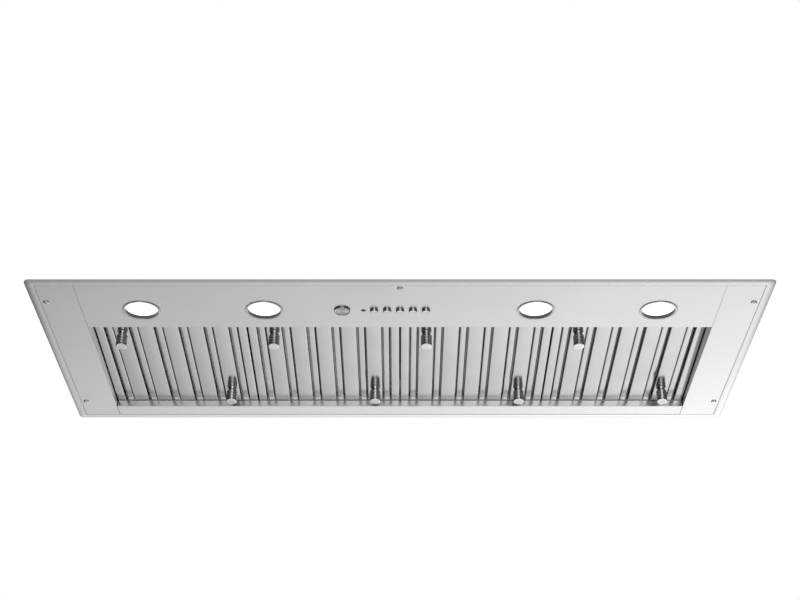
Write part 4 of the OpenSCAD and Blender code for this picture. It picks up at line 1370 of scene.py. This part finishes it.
@dataclass
class Studio:
    """Camera, floor and soft light."""

    lens_mm: float = 68.27
    place: tuple[float, float, float] = (0.0, -2.250, -1.1926)
    pitch_deg: float = 29.9
    floor_z: float = -3.6
    floor_half: float = 3.4
    low_glow: float = 0.82       # radiance of the wall low down behind the hood
    rise: float = 8.0            # how fast it brightens towards the horizon
    drift: float = 1.5           # how fast it brightens to the right
    dim: float = 0.25            # share of it left at the horizon
    dark_side: float = 0.06      # share of it left at either side
    lift: float = 1.6            # how much brighter the foot of the wall is
    high_glow: float = 0.65      # radiance overhead
    even_z: float = -0.47        # height of the direction in which the glow is low_glow
    ramp_z: tuple[float, float] = (-0.51, -0.3)      # where it changes with height
    fade_z: tuple[float, float] = (-0.36, -0.2)      # where it falls off to the horizon
    foot_z: tuple[float, float] = (-0.535, -0.512)   # where the foot of the wall ends
    drift_x: tuple[float, float] = (-0.5, 0.5)       # where it changes from left to right
    side_x: tuple[float, float] = (0.25, 0.42)       # where it falls off to the sides
    upper_z: tuple[float, float] = (0.0, 0.3)        # where the even light overhead starts
    clip: tuple[float, float] = (0.05, 60)
    softbox: tuple[float, float, float] = (0.6, 0.5, 2.6)
    softbox_width: float = 2.2
    softbox_watts: float = 22

    def build(self) -> None:
        """Makes the camera, the floor and the light."""
        camera = bpy.data.cameras.new("camera")
        camera.lens = self.lens_mm
        camera.clip_start, camera.clip_end = self.clip
        holder = bpy.data.objects.new("camera", camera)
        holder.location = self.place
        holder.rotation_euler = (math.radians(90 + self.pitch_deg), 0, 0)
        bpy.context.scene.collection.objects.link(holder)
        bpy.context.scene.camera = holder
        bpy.context.scene.view_settings.view_transform = "Standard"
        self.floor()
        self.room()
        self.lamp("overhead softbox", self.softbox, (0, 0, 0), self.softbox_width,
                  self.softbox_watts)

    def floor(self) -> None:
        """Floor: a flat square grid of points."""
        line = np.linspace(-self.floor_half, self.floor_half, 3)
        x, y = np.meshgrid(line, line)
        points = np.stack([x, y, np.full_like(x, self.floor_z)], axis=-1).reshape(-1, 3)
        faces = [[0, 1, 4, 3], [1, 2, 5, 4], [3, 4, 7, 6], [4, 5, 8, 7]]
        mesh = bpy.data.meshes.new("floor")
        mesh.from_pydata(points.tolist(), [], faces)
        mesh.materials.append(Finish("pale floor paint", "#D9D8D4", "#D5D4D0", 0.7).build())
        floor = bpy.data.objects.new("floor", mesh)
        bpy.context.scene.collection.objects.link(floor)

    def lamp(self, name: str, place: tuple[float, float, float],
             target: tuple[float, float, float], width: float, power: float) -> None:
        """A square soft light of a width and power, at a place, facing a target.

        Args:
            name: The light's name.
            place: Where it hangs.
            target: The point that it faces.
            width: Side of its square.
            power: Its power in watts.
        """
        light = bpy.data.lights.new(name, "AREA")
        light.size, light.energy = width, power
        holder = bpy.data.objects.new(name, light)
        holder.location = place
        aim = Vector(target) - Vector(place)
        holder.rotation_euler = aim.to_track_quat("-Z", "Y").to_euler()
        bpy.context.scene.collection.objects.link(holder)

    def faded(self, tree: bpy.types.NodeTree, value: bpy.types.NodeSocket,
              span: tuple[float, float], first: float, last: float) -> bpy.types.NodeSocket:
        """A number that follows a value in a straight line, and is level beyond its span.

        Args:
            tree: The tree it goes into.
            value: The value it follows.
            span: Where the line starts and ends.
            first: The number at the start.
            last: The number at the end.

        Returns:
            The number.
        """
        return add(tree, "ShaderNodeMapRange", {
            "Value": value, "From Min": span[0], "From Max": span[1], "To Min": first,
            "To Max": last}, clamp=True).outputs[0]

    def room(self) -> None:
        """Room light: white to the camera, and for the hood a glow set by its direction.

        Low down it is low_glow times the exponential of rise times the height above
        even_z plus drift times the distance to the right. It is dimmed towards the
        horizon and both sides, and brighter at the wall's foot. Overhead it is even.
        """
        world = bpy.data.worlds.new("room")
        bpy.context.scene.world = world
        world.use_nodes = True
        tree = world.node_tree
        tree.nodes.clear()
        way = add(tree, "ShaderNodeTexCoord").outputs["Generated"]
        part = add(tree, "ShaderNodeSeparateXYZ", {"Vector": way}).outputs
        across = add(tree, "ShaderNodeMath", {0: part["X"]}, operation="ABSOLUTE").outputs[0]
        start, end = ((z - self.even_z) * self.rise for z in self.ramp_z)
        ramp = self.faded(tree, part["Z"], self.ramp_z, start, end)
        right = self.faded(tree, part["X"], self.drift_x,
                           *(x * self.drift for x in self.drift_x))
        total = add(tree, "ShaderNodeMath", {0: ramp, 1: right}, operation="ADD")
        low = add(tree, "ShaderNodeMath", {0: total.outputs[0]}, operation="EXPONENT").outputs[0]
        for share in (self.low_glow, self.faded(tree, part["Z"], self.fade_z, 1.0, self.dim),
                      self.faded(tree, across, self.side_x, 1.0, self.dark_side),
                      self.faded(tree, part["Z"], self.foot_z, self.lift, 1.0)):
            low = add(tree, "ShaderNodeMath", {0: low, 1: share}, operation="MULTIPLY").outputs[0]
        upper = self.faded(tree, part["Z"], self.upper_z, 0.0, 1.0)
        seen = add(tree, "ShaderNodeMix", {"Factor": upper, "A": low, "B": self.high_glow})
        light = add(tree, "ShaderNodeBackground", {"Strength": seen.outputs[0],
                    "Color": (1, 1, 1, 1)})
        white = add(tree, "ShaderNodeBackground", {"Strength": 1.0, "Color": (1, 1, 1, 1)})
        looks = add(tree, "ShaderNodeLightPath").outputs["Is Camera Ray"]
        mixed = add(tree, "ShaderNodeMixShader", {0: looks, 1: light.outputs[0],
                    2: white.outputs[0]})
        add(tree, "ShaderNodeOutputWorld", {"Surface": mixed.outputs[0]})


def main() -> None:
    """Builds the studio and every sub-assembly, in order."""
    logging.basicConfig(level=logging.INFO, format="%(name)s: %(message)s")
    Studio().build()
    shop = Workshop()
    Surround().build(shop)
    ControlRow().build(shop)
    for number in range(1, 5):
        LightUnit(number).build(shop)
        BaffleFilter(number).build(shop)
    Housing().build(shop)
    Blower().build(shop)
    WiringBay().build(shop)
    shop.dress_rest()


if __name__ == "__main__":
    main()
